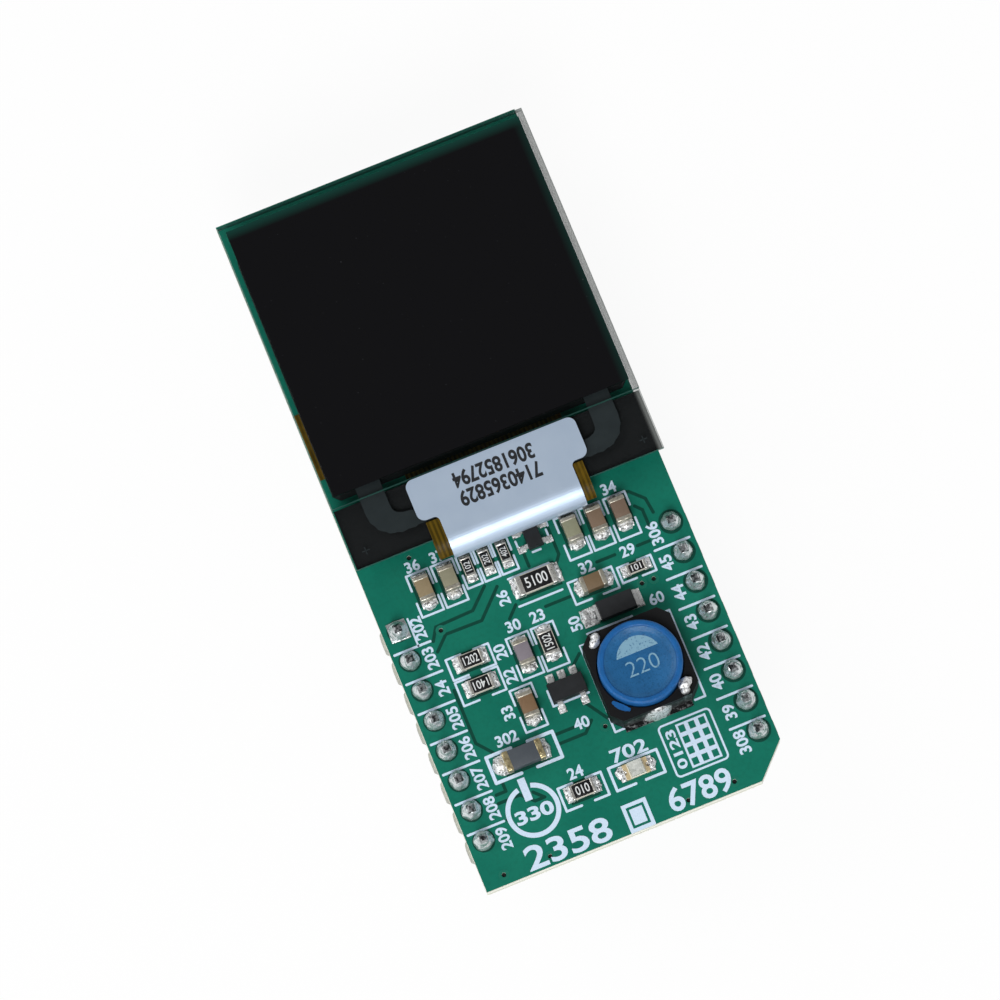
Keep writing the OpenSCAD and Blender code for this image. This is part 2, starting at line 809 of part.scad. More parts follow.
module chip_solder() {
    reg_turned = [reg_size[1], reg_size[0], reg_size[2]];
    sw_turned = [sw_size[1], sw_size[0], sw_size[2]];
    color("#c2c5c6") {
        for (place = cap_places) at(place) chip_joints(cap_size);
        for (i = [0 : len(res_places) - 1]) at(res_places[i]) chip_joints(res_sizes[i]);
        at(bead_place) chip_joints(bead_size);
        at(lamp_place) chip_joints([lamp_size[0], lamp_size[1], lamp_base_h]);
        at(diode_place) for (side = [-1, 1])
            translate([side * (diode_pad_gap + diode_pad[0]) / 2 - diode_shift, 0, -pad_t / 2])
                cube([diode_pad[0], diode_pad[1], pad_t], center = true);
        at(ind_place) for (turn = [0, 180]) rotate([0, 0, turn]) inductor_joint();
        at(reg_place) {
            for (i = [-1, 0, 1]) rotate([0, 0, 90])
                lead_joint(reg_turned, i * reg_pitch, reg_lead_w);
            for (i = [-1, 1]) rotate([0, 0, -90])
                lead_joint(reg_turned, i * reg_pitch, reg_lead_w);
        }
        at(sw_place) for (side = [-90, 90], i = [-0.5, 0.5]) rotate([0, 0, side])
            lead_joint(sw_turned, i * sw_pitch, sw_lead_w);
    }
}

circuit_board();
header_housing(-1);  // header_housing_left
header_housing(1);  // header_housing_right
header_pins(-1);  // header_pins_left
header_pins(1);  // header_pins_right
pin_solder(-1);  // pin_solder_left
pin_solder(1);  // pin_solder_right
display_rear_glass();
display_cover_glass();
polariser();
driver_chip();
display_film();
tape_adhesive();
silver_tape();
foam_pad();
ledge_mask();
capacitor(1);  // capacitor_1
capacitor(2);  // capacitor_2
capacitor(3);  // capacitor_3
capacitor(4);  // capacitor_4
capacitor(5);  // capacitor_5
capacitor(6);  // capacitor_6
capacitor(7);  // capacitor_7
capacitor(8);  // capacitor_8
resistor(1);  // resistor_1
resistor(2);  // resistor_2
resistor(3);  // resistor_3
resistor(4);  // resistor_4
resistor(5);  // resistor_5
resistor(6);  // resistor_6
resistor(7);  // resistor_7
resistor(8);  // resistor_8
resistor(9);  // resistor_9
ferrite_bead();
diode_body();
diode_terminals();
inductor_base();
inductor_terminals();
inductor_ring();
inductor_drum();
inductor_winding();
regulator_body();
regulator_leads();
switch_body();
switch_leads();
lamp_base();
lamp_lens();
lamp_die();
chip_solder();
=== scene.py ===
import math

import bmesh
import bpy
from mathutils import Matrix, Vector


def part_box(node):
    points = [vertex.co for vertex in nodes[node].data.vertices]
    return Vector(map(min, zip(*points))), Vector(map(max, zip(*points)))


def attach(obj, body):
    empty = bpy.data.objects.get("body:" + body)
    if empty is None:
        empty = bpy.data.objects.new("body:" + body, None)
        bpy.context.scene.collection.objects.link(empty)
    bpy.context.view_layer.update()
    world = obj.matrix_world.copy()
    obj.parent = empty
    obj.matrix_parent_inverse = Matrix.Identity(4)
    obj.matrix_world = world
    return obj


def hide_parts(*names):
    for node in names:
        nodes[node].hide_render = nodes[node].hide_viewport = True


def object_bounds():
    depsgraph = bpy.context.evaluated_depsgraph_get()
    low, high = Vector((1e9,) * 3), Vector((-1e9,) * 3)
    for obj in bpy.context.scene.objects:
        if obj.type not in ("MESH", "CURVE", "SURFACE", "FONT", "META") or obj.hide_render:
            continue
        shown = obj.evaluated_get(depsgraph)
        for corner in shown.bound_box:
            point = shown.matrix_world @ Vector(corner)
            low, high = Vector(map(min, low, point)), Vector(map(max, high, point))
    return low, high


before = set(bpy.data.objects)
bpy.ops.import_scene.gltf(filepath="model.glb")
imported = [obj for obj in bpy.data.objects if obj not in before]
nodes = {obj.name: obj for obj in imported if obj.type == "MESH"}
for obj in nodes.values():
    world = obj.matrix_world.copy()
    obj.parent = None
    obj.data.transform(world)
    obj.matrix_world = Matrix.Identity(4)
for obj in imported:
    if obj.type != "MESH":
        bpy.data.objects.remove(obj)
cad_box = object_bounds()
mm = 0.001


# ---- camera, floor and light ------------------------------------------------
# The board lies face up and is seen almost straight from above, over a pale
# paper sweep, with a soft box in front of its header end and a weaker one behind.

def srgb(code):
    """Linear colour from a hex code."""
    parts = [int(code[i:i + 2], 16) / 255 for i in (1, 3, 5)]
    return (*(c / 12.92 if c <= 0.04045 else ((c + 0.055) / 1.055) ** 2.4 for c in parts), 1.0)


def add(tree, kind, inputs=(), **settings):
    """Adds a node with its settings and links. The inputs are a list in the node's order or
    a dict; each is a value, a hex colour, a socket, or a node that gives its first output."""
    node = tree.nodes.new("ShaderNode" + kind)
    for key, value in settings.items():
        setattr(node, key, value)
    for key, value in inputs.items() if isinstance(inputs, dict) else enumerate(inputs):
        if isinstance(value, bpy.types.Node):
            value = next(socket for socket in value.outputs if socket.enabled)
        if isinstance(value, bpy.types.NodeSocket):
            tree.links.new(value, node.inputs[key])
        else:
            node.inputs[key].default_value = srgb(value) if isinstance(value, str) else value
    return node


def new_material(name):
    """An empty node material, its tree, and the coordinates that its patterns follow."""
    material = bpy.data.materials.new(name)
    material.use_nodes = True
    material.node_tree.nodes.clear()
    return material, material.node_tree, add(material.node_tree, "TexCoord").outputs["Object"]


camera = bpy.data.objects.new("camera", bpy.data.cameras.new("camera"))
bpy.context.scene.collection.objects.link(camera)
camera.location = (-25.04 * mm, -83.78 * mm, 460.04 * mm)
camera.rotation_euler = [math.radians(a) for a in (12.532, 1.783, -22.005)]
camera.data.lens = 216
camera.data.sensor_width = 36
camera.data.clip_start = 0.02
camera.data.clip_end = 20
bpy.context.scene.camera = camera

bpy.context.scene.view_settings.view_transform = "Standard"

world = bpy.data.worlds.new("studio")
bpy.context.scene.world = world
world.use_nodes = True
world.node_tree.nodes.clear()
# a pale room under a darker ceiling, which gives metal something to reflect
toward = add(world.node_tree, "TexCoord").outputs["Generated"]
height = add(world.node_tree, "SeparateXYZ", [toward]).outputs[2]
ceiling = add(world.node_tree, "MapRange", [height, 0.55, 0.93, 0.5, 0.14])
room = add(world.node_tree, "Background", ["#FFFFFF", ceiling])
add(world.node_tree, "OutputWorld", [room])


def soft_box(name, place, size, power):
    """A square area lamp that faces the middle of the board."""
    lamp = bpy.data.objects.new(name, bpy.data.lights.new(name, "AREA"))
    bpy.context.scene.collection.objects.link(lamp)
    lamp.location = place
    lamp.rotation_mode = "QUATERNION"
    lamp.rotation_quaternion = (Vector((0, 12 * mm, 5 * mm)) - lamp.location).to_track_quat("-Z", "Y")
    lamp.data.shape = "SQUARE"
    lamp.data.size = size
    lamp.data.energy = power


soft_box("key_light", (-0.22, -0.52, 0.72), 0.42, 6.0)
soft_box("back_light", (-0.62, 0.45, 0.62), 0.5, 2.3)

bpy.ops.mesh.primitive_plane_add(size=4, location=(0, 0, cad_box[0].z - 0.5 * mm))
floor = bpy.context.active_object
floor.name = "floor"
paper, tree, _ = new_material("white paper sweep")
rays = add(tree, "LightPath").outputs
seen = add(tree, "Math", [rays["Is Camera Ray"], rays["Is Glossy Ray"]], operation="MAXIMUM")
seen = add(tree, "Math", [seen, rays["Is Transmission Ray"]], operation="MAXIMUM")
glow = add(tree, "Math", [seen, 0.93], operation="MULTIPLY")
matte = add(tree, "BsdfDiffuse", ["#F4F4F4"])
white = add(tree, "Emission", ["#FFFFFF", 1.0])
add(tree, "OutputMaterial", [add(tree, "MixShader", [glow, matte, white])])
floor.data.materials.append(paper)


# ---- circuit board ----------------------------------------------------------
# A sheet of glass-fibre laminate with etched copper on it, under green solder
# mask that is screened on wet and cured. Its edges are routed and stay bare.
# Copper lifts the mask slightly, so the gaps round the traces show darker.

board_low, board_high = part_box("circuit_board")
board_top = board_high.z

# the pin joints' places in millimetres, and how deep each drawn layer is sunk
row_x, pitch = 11.43, 2.54
pin_rows = [(3.5 - k) * pitch for k in range(8)]
bite = 0.002 * mm


def upright(tree):
    """How far a face looks sideways: 0 on a level face and 1 on a wall."""
    axes = add(tree, "SeparateXYZ", [add(tree, "NewGeometry").outputs["Normal"]])
    level = add(tree, "Math", [axes.outputs[2]], operation="ABSOLUTE")
    return add(tree, "MapRange", [level, 0.5, 0.6, 1.0, 0.0])


# Glass-epoxy laminate with cured mask: an even green with a soft gloss and a
# faint orange peel, and raw straw-coloured layers along the routed edge.
mask_green, tree, place = new_material("green solder mask on routed laminate")
pools, grain, weave = [
    add(tree, "TexNoise", {"Vector": place, "Scale": 1 / (size * mm), "Detail": detail, "Roughness": 0.6})
    for size, detail in ((6.0, 2.0), (0.35, 3.0), (0.12, 1.0))]
pools = add(tree, "MapRange", [pools, 0.35, 0.65, 0.0, 1.0])
green = add(tree, "Mix", {0: pools, 6: "#0B6B59", 7: "#13735F"}, data_type="RGBA")
grain = add(tree, "MapRange", [grain, 0.45, 0.75, 0.0, 0.35])
green = add(tree, "Mix", {0: grain, 6: green, 7: "#0D5B4A"}, data_type="RGBA")
layers = add(tree, "TexWave", {"Vector": place, "Scale": 1 / (3.2 * mm), "Distortion": 2.0, "Detail": 3.0},
             bands_direction="Z")
straw = add(tree, "Mix", {0: layers, 6: "#CFD0C3", 7: "#F0F0E6"}, data_type="RGBA")
side = upright(tree)
shade = add(tree, "BsdfPrincipled", {
    "Base Color": add(tree, "Mix", {0: side, 6: green, 7: straw}, data_type="RGBA"),
    "Roughness": add(tree, "MapRange", [side, 0.0, 1.0, 0.34, 0.8]), "Specular IOR Level": 0.25,
    "Normal": add(tree, "Bump", {"Height": weave, "Distance": 0.006 * mm})})
add(tree, "OutputMaterial", [shade])


def dress(node, *materials):
    """Puts materials on a CAD node's slots."""
    nodes[node].data.materials.clear()
    for material in materials:
        nodes[node].data.materials.append(material)


dress("circuit_board", mask_green)


def pick(*pieces):
    """Selects only these pieces and makes the last one active."""
    bpy.ops.object.select_all(action="DESELECT")
    for piece in pieces:
        piece.select_set(True)
        bpy.context.view_layer.objects.active = piece


def draw(name):
    """Starts an empty mesh in edit mode, for flat shapes to be drawn into."""
    piece = bpy.data.objects.new(name, bpy.data.meshes.new(name))
    bpy.context.scene.collection.objects.link(piece)
    pick(piece)
    bpy.ops.object.mode_set(mode="EDIT")
    bpy.ops.mesh.select_mode(type="VERT")
    return piece


def disc(x, y, radius, sides):
    """A filled disc, placed and sized in millimetres, and left as all that is selected."""
    bpy.ops.mesh.primitive_circle_add(vertices=sides, radius=radius * mm, fill_type="NGON",
                                      location=(x * mm, y * mm, 0))


def stroke(points, width):
    """A round-ended line: discs whose far halves are moved to the next point.

    Each run lies a hair higher than the one before, so no two faces coincide.
    The width is one number, or a list with one for each run."""
    widths = width if isinstance(width, list) else [width] * len(points)
    for step, (start, end, wide) in enumerate(zip(points[:-1], points[1:], widths)):
        run = Vector(end) - Vector(start)
        bpy.ops.mesh.primitive_circle_add(
            vertices=12, radius=wide / 2 * mm, fill_type="NGON",
            location=(start[0] * mm, start[1] * mm, 0.0008 * step * mm),
            rotation=(0, 0, math.atan2(run.y, run.x) + math.radians(15)))
        sketch = bmesh.from_edit_mesh(bpy.context.edit_object.data)
        for vert in sketch.verts:
            if vert.select and (vert.co.xy / mm - Vector(start)).dot(run) < 0:
                vert.select = False
        sketch.select_flush(False)
        bpy.ops.transform.translate(value=(run.x * mm, run.y * mm, 0))


def patch(low, high):
    """A filled rectangle between two corners."""
    middle = ((low[0] + high[0]) / 2 * mm, (low[1] + high[1]) / 2 * mm, 0)
    bpy.ops.mesh.primitive_plane_add(size=1, location=middle)
    bpy.ops.transform.resize(value=((high[0] - low[0]) * mm, (high[1] - low[1]) * mm, 1),
                             center_override=middle)


def raise_drawing(piece, height, base):
    """Thickens what was drawn, lifts it to its base level and leaves edit mode."""
    bpy.ops.mesh.select_all(action="SELECT")
    bpy.ops.mesh.extrude_region_move(TRANSFORM_OT_translate={"value": (0, 0, height * mm)})
    bpy.ops.mesh.select_all(action="SELECT")
    bpy.ops.transform.translate(value=(0, 0, base))
    bpy.ops.mesh.normals_make_consistent(inside=False)
    bpy.ops.object.mode_set(mode="OBJECT")


def finish_piece(piece, material):
    """Gives a piece its material and its body."""
    piece.data.materials.clear()
    piece.data.materials.append(material)
    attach(piece, "root")


# the gaps beside the traces, in millimetres from the pin pattern's centre
trace_gaps = [
    [(-9.2, 6.2), (-8.1, 7.25), (-5.1, 7.2), (-3.0, 9.25)],
    [(-9.2, 7.1), (-8.6, 8.08), (-5.45, 8.2), (-3.9, 9.65)],
    [(-3.05, 6.5), (-2.2, 7.35)], [(2.4, 12.5), (2.4, 9.8), (1.85, 9.05)],
    [(4.9, 8.1), (6.4, 8.1)], [(8.3, 8.1), (9.3, 8.1)], [(-0.1, 6.35), (2.0, 6.35)],
    [(-3.1, -3.3), (-1.7, -3.3)], [(-3.1, -4.08), (-1.0, -4.08), (-0.2, -3.3)],
    [(-0.1, -1.9), (1.1, -3.75)],
    [(-9.15, 2.9), (-9.15, -1.6), (-8.2, -2.75)], [(-9.2, -5.95), (-8.4, -5.95), (-8.4, -5.3)],
    [(-9.3, -6.63), (-7.5, -6.63), (-6.6, -7.5), (-5.9, -7.5)], [(-6.5, -6.8), (-5.8, -7.5)],
    [(8.3, 12.6), (9.3, 12.35), (10.3, 11.35), (10.45, 10.1)], [(9.3, 11.1), (9.75, 10.6), (9.75, 9.2)],
    [(-0.9, 10.9), (-0.9, 9.9)], [(-0.1, 10.9), (-0.1, 9.8)], [(0.9, 1.9), (0.2, 1.3)],
]
etch_gaps = draw("etch_gaps")
for points in trace_gaps:
    stroke(points, 0.27)
raise_drawing(etch_gaps, 0.006, board_top - bite)


def mottled(name, dark, light, size, detail, roughness, depth=0.0, specular=0.5, metallic=0.0,
            rough=0.6, cover=None, second=None, over=None, gloss_by=0, relief_by=0):
    """A finish made by one noise or two, with sizes and depth in millimetres.

    The first noise tints it, in the range cover if there is one. The second noise is
    (size, detail, roughness), and it can lay a coat over: (low, high, most, colour). The
    roughness is a number or a range of one of the noises, and one of them gives the relief."""
    material, tree, place = new_material(name)
    noises = [add(tree, "TexNoise", {
        "Vector": place, "Scale": 1 / (noise[0] * mm), "Detail": noise[1], "Roughness": noise[2]})
        for noise in ((size, detail, rough), second) if noise]
    tint = add(tree, "MapRange", [noises[0], *cover]) if cover else noises[0]
    colour = add(tree, "Mix", {0: tint, 6: dark, 7: light}, data_type="RGBA")
    if over:
        low, high, most, coat = over
        spread = add(tree, "MapRange", [noises[1], low, high, 0.0, most])
        colour = add(tree, "Mix", {0: spread, 6: colour, 7: coat}, data_type="RGBA")
    if isinstance(roughness, tuple):
        roughness = add(tree, "MapRange", [noises[gloss_by], *roughness])
    looks = {"Base Color": colour, "Metallic": metallic, "Roughness": roughness,
             "Specular IOR Level": specular}
    if depth:
        looks["Normal"] = add(tree, "Bump", {"Height": noises[relief_by], "Distance": depth * mm})
    add(tree, "OutputMaterial", [add(tree, "BsdfPrincipled", looks)])
    return material


# Cured mask lying straight on laminate: the same film, but darker and duller; it is also painted shade
# round the chips and pin joints.
mask_dark = mottled("solder mask over bare laminate, also painted shade", "#04382E", "#08483B", 0.4, 3.0, 0.5, 0.004, 0.15)
finish_piece(etch_gaps, mask_dark)

# rings of copper round the small plated holes, under the mask
via_places = [(-9.05, -8.07), (-8.33, 7.68), (8.48, 5.2), (7.5, 5.2), (-8.5, 13.95), (0.6, -4.15)]
via_places += [(-10.98 + 3.83 * k, -11.93) for k in range(6)]
via_rings = draw("via_rings")
for x, y in via_places:
    disc(x, y, 0.42, 24)
    bpy.ops.mesh.inset(thickness=0.2 * mm)
    bpy.ops.mesh.delete(type="FACE")
raise_drawing(via_rings, 0.012, board_top - bite)
ring_green = mottled("solder mask over a copper ring", "#0C6452", "#157561", 0.3, 3.0, 0.3, 0.006)
finish_piece(via_rings, ring_green)

# the small holes are plugged with dark ink that sinks as it dries
via_plugs = draw("via_plugs")
for x, y in via_places:
    disc(x, y, 0.24, 20)
    bpy.ops.mesh.inset(thickness=0.12 * mm)
    bpy.ops.transform.translate(value=(0, 0, -0.05 * mm))
raise_drawing(via_plugs, 0.5, board_top - 0.62 * mm)
plug_ink = mottled("dried dark plugging ink", "#0A0D0C", "#1C211F", 0.1, 2.0, 0.7, 0.0, 0.2)
finish_piece(via_plugs, plug_ink)

# bare laminate shows dark where the mask is left off for the parts; these dark patches are drawn wider
# round the chips and the pin joints as painted shade
openings_and_shade = draw("mask_gaps_and_painted_shade")
chips = [f"capacitor_{k}" for k in range(1, 9)] + [f"resistor_{k}" for k in range(1, 10)]
chips.append("ferrite_bead")
for node in chips:
    low, high = (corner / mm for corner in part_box(node))
    patch((low.x - 0.2, low.y - 0.2), (high.x + 0.2, high.y + 0.2))
for x, dark_radius in ((-row_x, 0.9), (row_x, 0.98)):
    for y in pin_rows:
        disc(x, y, dark_radius, 32)
raise_drawing(openings_and_shade, 0.01, board_top - bite)
finish_piece(openings_and_shade, mask_dark)


# ---- print on the board -----------------------------------------------------
# White epoxy ink, squeezed through a screen: outlines with round ends round the
# chip parts, dividers between the pins, plain numbers and two plain blocks.

# half boxes round upright parts: x of their sides, then y of the open and the shut end of
# the far half and of the near half
upright_boxes = [
    # capacitors in the far row, then the three small resistors beside them
    ([(-9.27, -7.48), (-7.2, -5.42)], (11.4, 12.65), (10.35, 9.15)),
    ([(3.05, 4.85), (5.12, 6.85), (7.2, 9.0)], (11.35, 12.5), (10.25, 8.97)),
    ([(-5.15, -3.9), (-3.67, -2.42), (-2.22, -0.88)], (11.55, 12.65), (11.05, 9.93)),
    # parts in the middle
    ([(-3.95, -2.15)], (3.9, 5.1), (2.85, 1.6)), ([(-1.87, -0.05)], (3.9, 5.1), (2.8, 1.55)),
    ([(-5.22, -3.42)], (0.0, 1.2), (-1.05, -2.32)),
]
# the same round lying parts: width and y of both sides, then x of both open ends and of
# the shut end of each half
lying_boxes = {
    (0.18, 5.55, 7.4): [(3.45, 2.95, 2.15)], (0.18, 5.55, 7.35): [(4.45, 5.0, 5.78)],
    (0.18, 5.75, 7.05): [(7.3, 7.1, 6.15), (7.8, 7.85, 8.95)],
    (0.18, 5.35, 3.6): [(-7.65, -7.65, -8.88), (-6.55, -6.55, -5.35)],
    (0.18, 3.4, 1.45): [(-7.65, -7.6, -8.88), (-6.5, -6.5, -5.35)],
    # inductor, bead and last resistor
    (0.18, -4.87, 2.45): [(7.8, 7.8, 8.65)],
    (0.28, -2.95, -5.1): [(-6.8, -6.75, -8.85), (-5.4, -5.4, -3.35)],
    (0.2, -7.3, -9.2): [(-3.45, -3.4, -4.65), (-2.3, -2.3, -1.1)],
}
print_lines = [(0.18, [(x0, open_y), (x0, shut_y), (x1, shut_y), (x1, open_y)])
               for sides, *halves in upright_boxes for x0, x1 in sides for open_y, shut_y in halves]
print_lines += [(width, [(xa, y0), (x, y0), (x, y1), (xb, y1)])
                for (width, y0, y1), halves in lying_boxes.items() for xa, xb, x in halves]
print_lines += [
    # large resistor and regulator
    (0.18, [(-2.0, 7.1), (1.6, 7.1)]), (0.18, [(-2.0, 9.45), (1.4, 9.45)]),
    (0.18, [(-2.5, 0.1), (-2.5, -1.2), (0.43, -1.2)]),
    # inductor, diode and lamp
    (0.18, [(1.15, -3.7), (1.15, -4.87), (2.0, -4.87)]), (0.12, [(1.15, -3.2), (1.15, 2.45), (2.0, 2.45)]),
    (0.18, [(2.05, 3.1), (5.8, 3.1)]),
    (0.22, [(1.1, -9.2), (-0.45, -9.2), (-0.45, -7.3), (3.55, -7.3), (3.55, -9.2), (1.95, -9.2)]),
    # dashes round the switch
    (0.18, [(-0.35, 11.4), (-0.35, 12.0)]), (0.18, [(2.2, 11.4), (2.2, 12.0)]),
    (0.18, [(0.6, 10.72), (1.25, 10.72)]), (0.18, [(2.45, 12.25), (2.45, 12.55)]),
    # line from the first pins to the corner of their field
    (0.16, [(-10.4, 7.2), (-10.4, 9.5)]),
]
for y in (7.2, 4.7, 2.15, -0.4, -2.95, -5.5, -8.05):
    print_lines += [(0.2, [(-12.4, y), (-9.42, y)]), (0.2, [(9.4, y), (12.28, y)])]

ink_height = 0.018
board_print = draw("board_print")
for width, points in print_lines:
    stroke(points, width)
# open ring in the near left field, with a bar through its gap
ring_middle, ring_radius, ring_band, half_gap = Vector((-7.0, -8.12)), 2.15, 0.38, 0.55
disc(*ring_middle, ring_radius, 72)
bpy.ops.mesh.inset(thickness=ring_band * mm)
bpy.ops.mesh.delete(type="FACE")
bpy.ops.mesh.select_mode(type="FACE")
sketch = bmesh.from_edit_mesh(board_print.data)
for face in sketch.faces:
    reach = face.calc_center_median().xy / mm - ring_middle
    in_band = abs(reach.length - (ring_radius - ring_band / 2)) < 0.1
    face.select = in_band and reach.y > 0 and abs(reach.x) < half_gap
bmesh.update_edit_mesh(board_print.data)
bpy.ops.mesh.delete(type="FACE")
bpy.ops.mesh.select_mode(type="VERT")
patch((-7.3, -7.3), (-6.7, -5.45))
# rounded frame in the near right field
patch((4.2, -10.1), (8.6, -5.73))
bpy.ops.mesh.bevel(affect="VERTICES", offset=0.4 * mm, segments=5)
bpy.ops.mesh.inset(thickness=0.16 * mm)
bpy.ops.mesh.delete(type="FACE")
# lattice in the frame
lattice_middle = (6.85 * mm, -7.92 * mm, 0)
bpy.ops.mesh.primitive_grid_add(x_subdivisions=3, y_subdivisions=4, size=1, location=lattice_middle)
bpy.ops.transform.resize(value=(2.5 * mm, 3.65 * mm, 1), center_override=lattice_middle)
bpy.ops.mesh.inset(thickness=0.17 * mm, use_individual=True)
bpy.ops.mesh.delete(type="FACE")
# square target between the two large numbers
patch((-0.7, -12.7), (1.35, -10.4))
bpy.ops.mesh.inset(thickness=0.3 * mm)
bpy.ops.mesh.inset(thickness=0.2 * mm)
sketch = bmesh.from_edit_mesh(board_print.data)
core = next(face for face in sketch.faces if face.select)
ring = [face for edge in core.edges for face in edge.link_faces if face is not core]
core.select = False
for face in ring:
    face.select = True
bmesh.update_edit_mesh(board_print.data)
bpy.ops.mesh.delete(type="FACE")
raise_drawing(board_print, ink_height, board_top - bite)


def numbers(name, body, centre, cap, base, turn=0, width=None, weight=0.028, height=ink_height):
    """Plain digits as a thin mesh, with their cap height and centre in millimetres."""
    bpy.ops.object.text_add()
    piece = bpy.context.active_object
    piece.name = name
    piece.data.body = body
    piece.data.offset = weight
    piece.data.extrude = 0.5
    piece.data.resolution_u = 4
    bpy.ops.object.convert(target="MESH")
    corners = [Vector(corner) for corner in piece.bound_box]
    low = Vector([min(c[i] for c in corners) for i in range(3)])
    high = Vector([max(c[i] for c in corners) for i in range(3)])
    tall = cap * mm / (high.y - low.y)
    wide = width * mm / (high.x - low.x) if width else tall
    piece.data.transform(
        Matrix.Translation((centre[0] * mm, centre[1] * mm, base + height * mm / 2))
        @ Matrix.Rotation(math.radians(turn), 4, "Z")
        @ Matrix.Diagonal((wide, tall, height * mm, 1)) @ Matrix.Translation(-(low + high) / 2))
    return piece


labels = [
    ("36", -8.5, 13.25, 0), ("37", -6.4, 13.25, 0), ("34", 7.95, 13.2, 0), ("32", 4.0, 8.05, 0),
    ("29", 7.45, 8.05, 0), ("26", -2.9, 8.2, 90), ("30", -3.0, 5.9, 0), ("23", -1.0, 5.9, 0),
    ("20", -4.7, 4.35, 90), ("22", -4.7, 2.3, 90), ("33", -5.95, -0.35, 90), ("302", -6.8, -2.15, 0),
    ("40", -1.0, -3.2, 0), ("50", 1.5, 4.2, 90), ("60", 8.1, 3.7, 0), ("24", -2.9, -6.6, 0),
]
digits = [numbers("label", body, (x, y), 0.93, board_top, turn) for body, x, y, turn in labels]
left_labels = ["202", "203", "24", "205", "206", "207", "208", "209"]
right_labels = ["306", "45", "44", "43", "42", "40", "39", "308"]
for y, left, right in zip(pin_rows, left_labels, right_labels):
    digits.append(numbers("label", left, (-9.9, y - 0.4), 0.94, board_top, 90))
    digits.append(numbers("label", right, (9.9, y - 0.4), 0.98, board_top, 90))
digits += [
    numbers("label", "702", (1.55, -6.6), 1.1, board_top, 0, 2.95, 0.025),
    numbers("label", "330", (-6.98, -8.35), 1.1, board_top, 0, 3.1, 0.035),
    numbers("label", "0123", (5.0, -7.92), 0.78, board_top, 90, 3.2),
    numbers("label", "2358", (-5.5, -11.55), 1.95, board_top, 0, 7.0, 0.018),
    numbers("label", "6789", (5.47, -11.5), 1.95, board_top, 0, 5.2, 0.02),
]
pick(*digits, board_print)
bpy.ops.object.join()

# Screened epoxy ink: a cool white that lets a trace of green through where it
# lies thin, matte, with slightly ragged cover.
ink_white = mottled("screened white epoxy ink", "#CFE1F5", "#9CC0C0", 0.09, 2.0, 0.6, 0.006, 0.25,
                    cover=(0.52, 0.72, 0.0, 0.45))
finish_piece(board_print, ink_white)


# ---- header strips ----------------------------------------------------------
# Two strips of ivory nylon segments with a square tin-plated pin pressed
# through each. They hang under the board, and each pin is soldered on top.

# Moulded nylon: warm ivory, with the dull sheen and faint mottling of a mould.
ivory = mottled("moulded ivory nylon", "#9C9D92", "#B4B5AA", 0.8, 3.0, 0.55, 0.01, 0.35)

# Drawn brass under matte tin: a pale grey metal, brushed along its length.
pin_tin, tree, place = new_material("drawn brass with matte tin plating")
drawn = add(tree, "Mapping", {"Vector": place, "Scale": (1, 1, 0.05)})
streaks = add(tree, "TexNoise", {"Vector": drawn, "Scale": 1 / (0.06 * mm)})
sides = add(tree, "Mix", {0: streaks, 6: "#A8A59C", 7: "#D2CFC4"}, data_type="RGBA")
# the tips above the joints are painted dark, as painted reflection on their flat cut faces, with light
# flecks as painted glints
height = add(tree, "SeparateXYZ", [place]).outputs[2]
tip = add(tree, "MapRange", [height, board_top, board_top + 0.3 * mm, 0.0, 1.0])
painted_glints = add(tree, "TexNoise", {"Vector": place, "Scale": 1 / (0.3 * mm), "Detail": 2.0, "Roughness": 0.6})
painted_glints = add(tree, "MapRange", [painted_glints, 0.42, 0.58, 0.0, 1.0])
painted_tip = add(tree, "Mix", {0: painted_glints, 6: "#3E4244", 7: "#B4B8BA"}, data_type="RGBA")
shade = add(tree, "BsdfPrincipled", {
    "Base Color": add(tree, "Mix", {0: tip, 6: sides, 7: painted_tip}, data_type="RGBA"), "Metallic": 1.0,
    "Roughness": add(tree, "MapRange", [streaks, 0.3, 0.7, 0.28, 0.42]),
    "Normal": add(tree, "Bump", {"Height": streaks, "Distance": 0.004 * mm})})
add(tree, "OutputMaterial", [shade])
dress("header_pins_left", pin_tin)
dress("header_pins_right", pin_tin)


def finish(piece, kind, **settings):
    """Adds a modifier to a piece and applies it."""
    pick(piece)
    modifier = piece.modifiers.new(kind.lower(), kind)
    for key, value in settings.items():
        setattr(modifier, key, value)
    bpy.ops.object.modifier_apply(modifier=modifier.name)
    return piece


def smooth(piece, angle=35):
    """Smooth shading over edges flatter than an angle."""
    pick(piece)
    bpy.ops.object.shade_smooth_by_angle(angle=math.radians(angle))
    return piece


def copy_to(master, name, place, turn=0, stretch=(1, 1, 1)):
    """A copy of a piece with its own mesh, turned and moved to its place."""
    piece = bpy.data.objects.new(name, master.data.copy())
    bpy.context.scene.collection.objects.link(piece)
    piece.data.transform(Matrix.Translation(Vector(place)) @ Matrix.Rotation(math.radians(turn), 4, "Z")
                         @ Matrix.Diagonal((*stretch, 1)))
    return piece


def join(name, pieces):
    """Makes one piece of several."""
    pick(*reversed(pieces))
    bpy.ops.object.join()
    pieces[0].name = name
    return pieces[0]


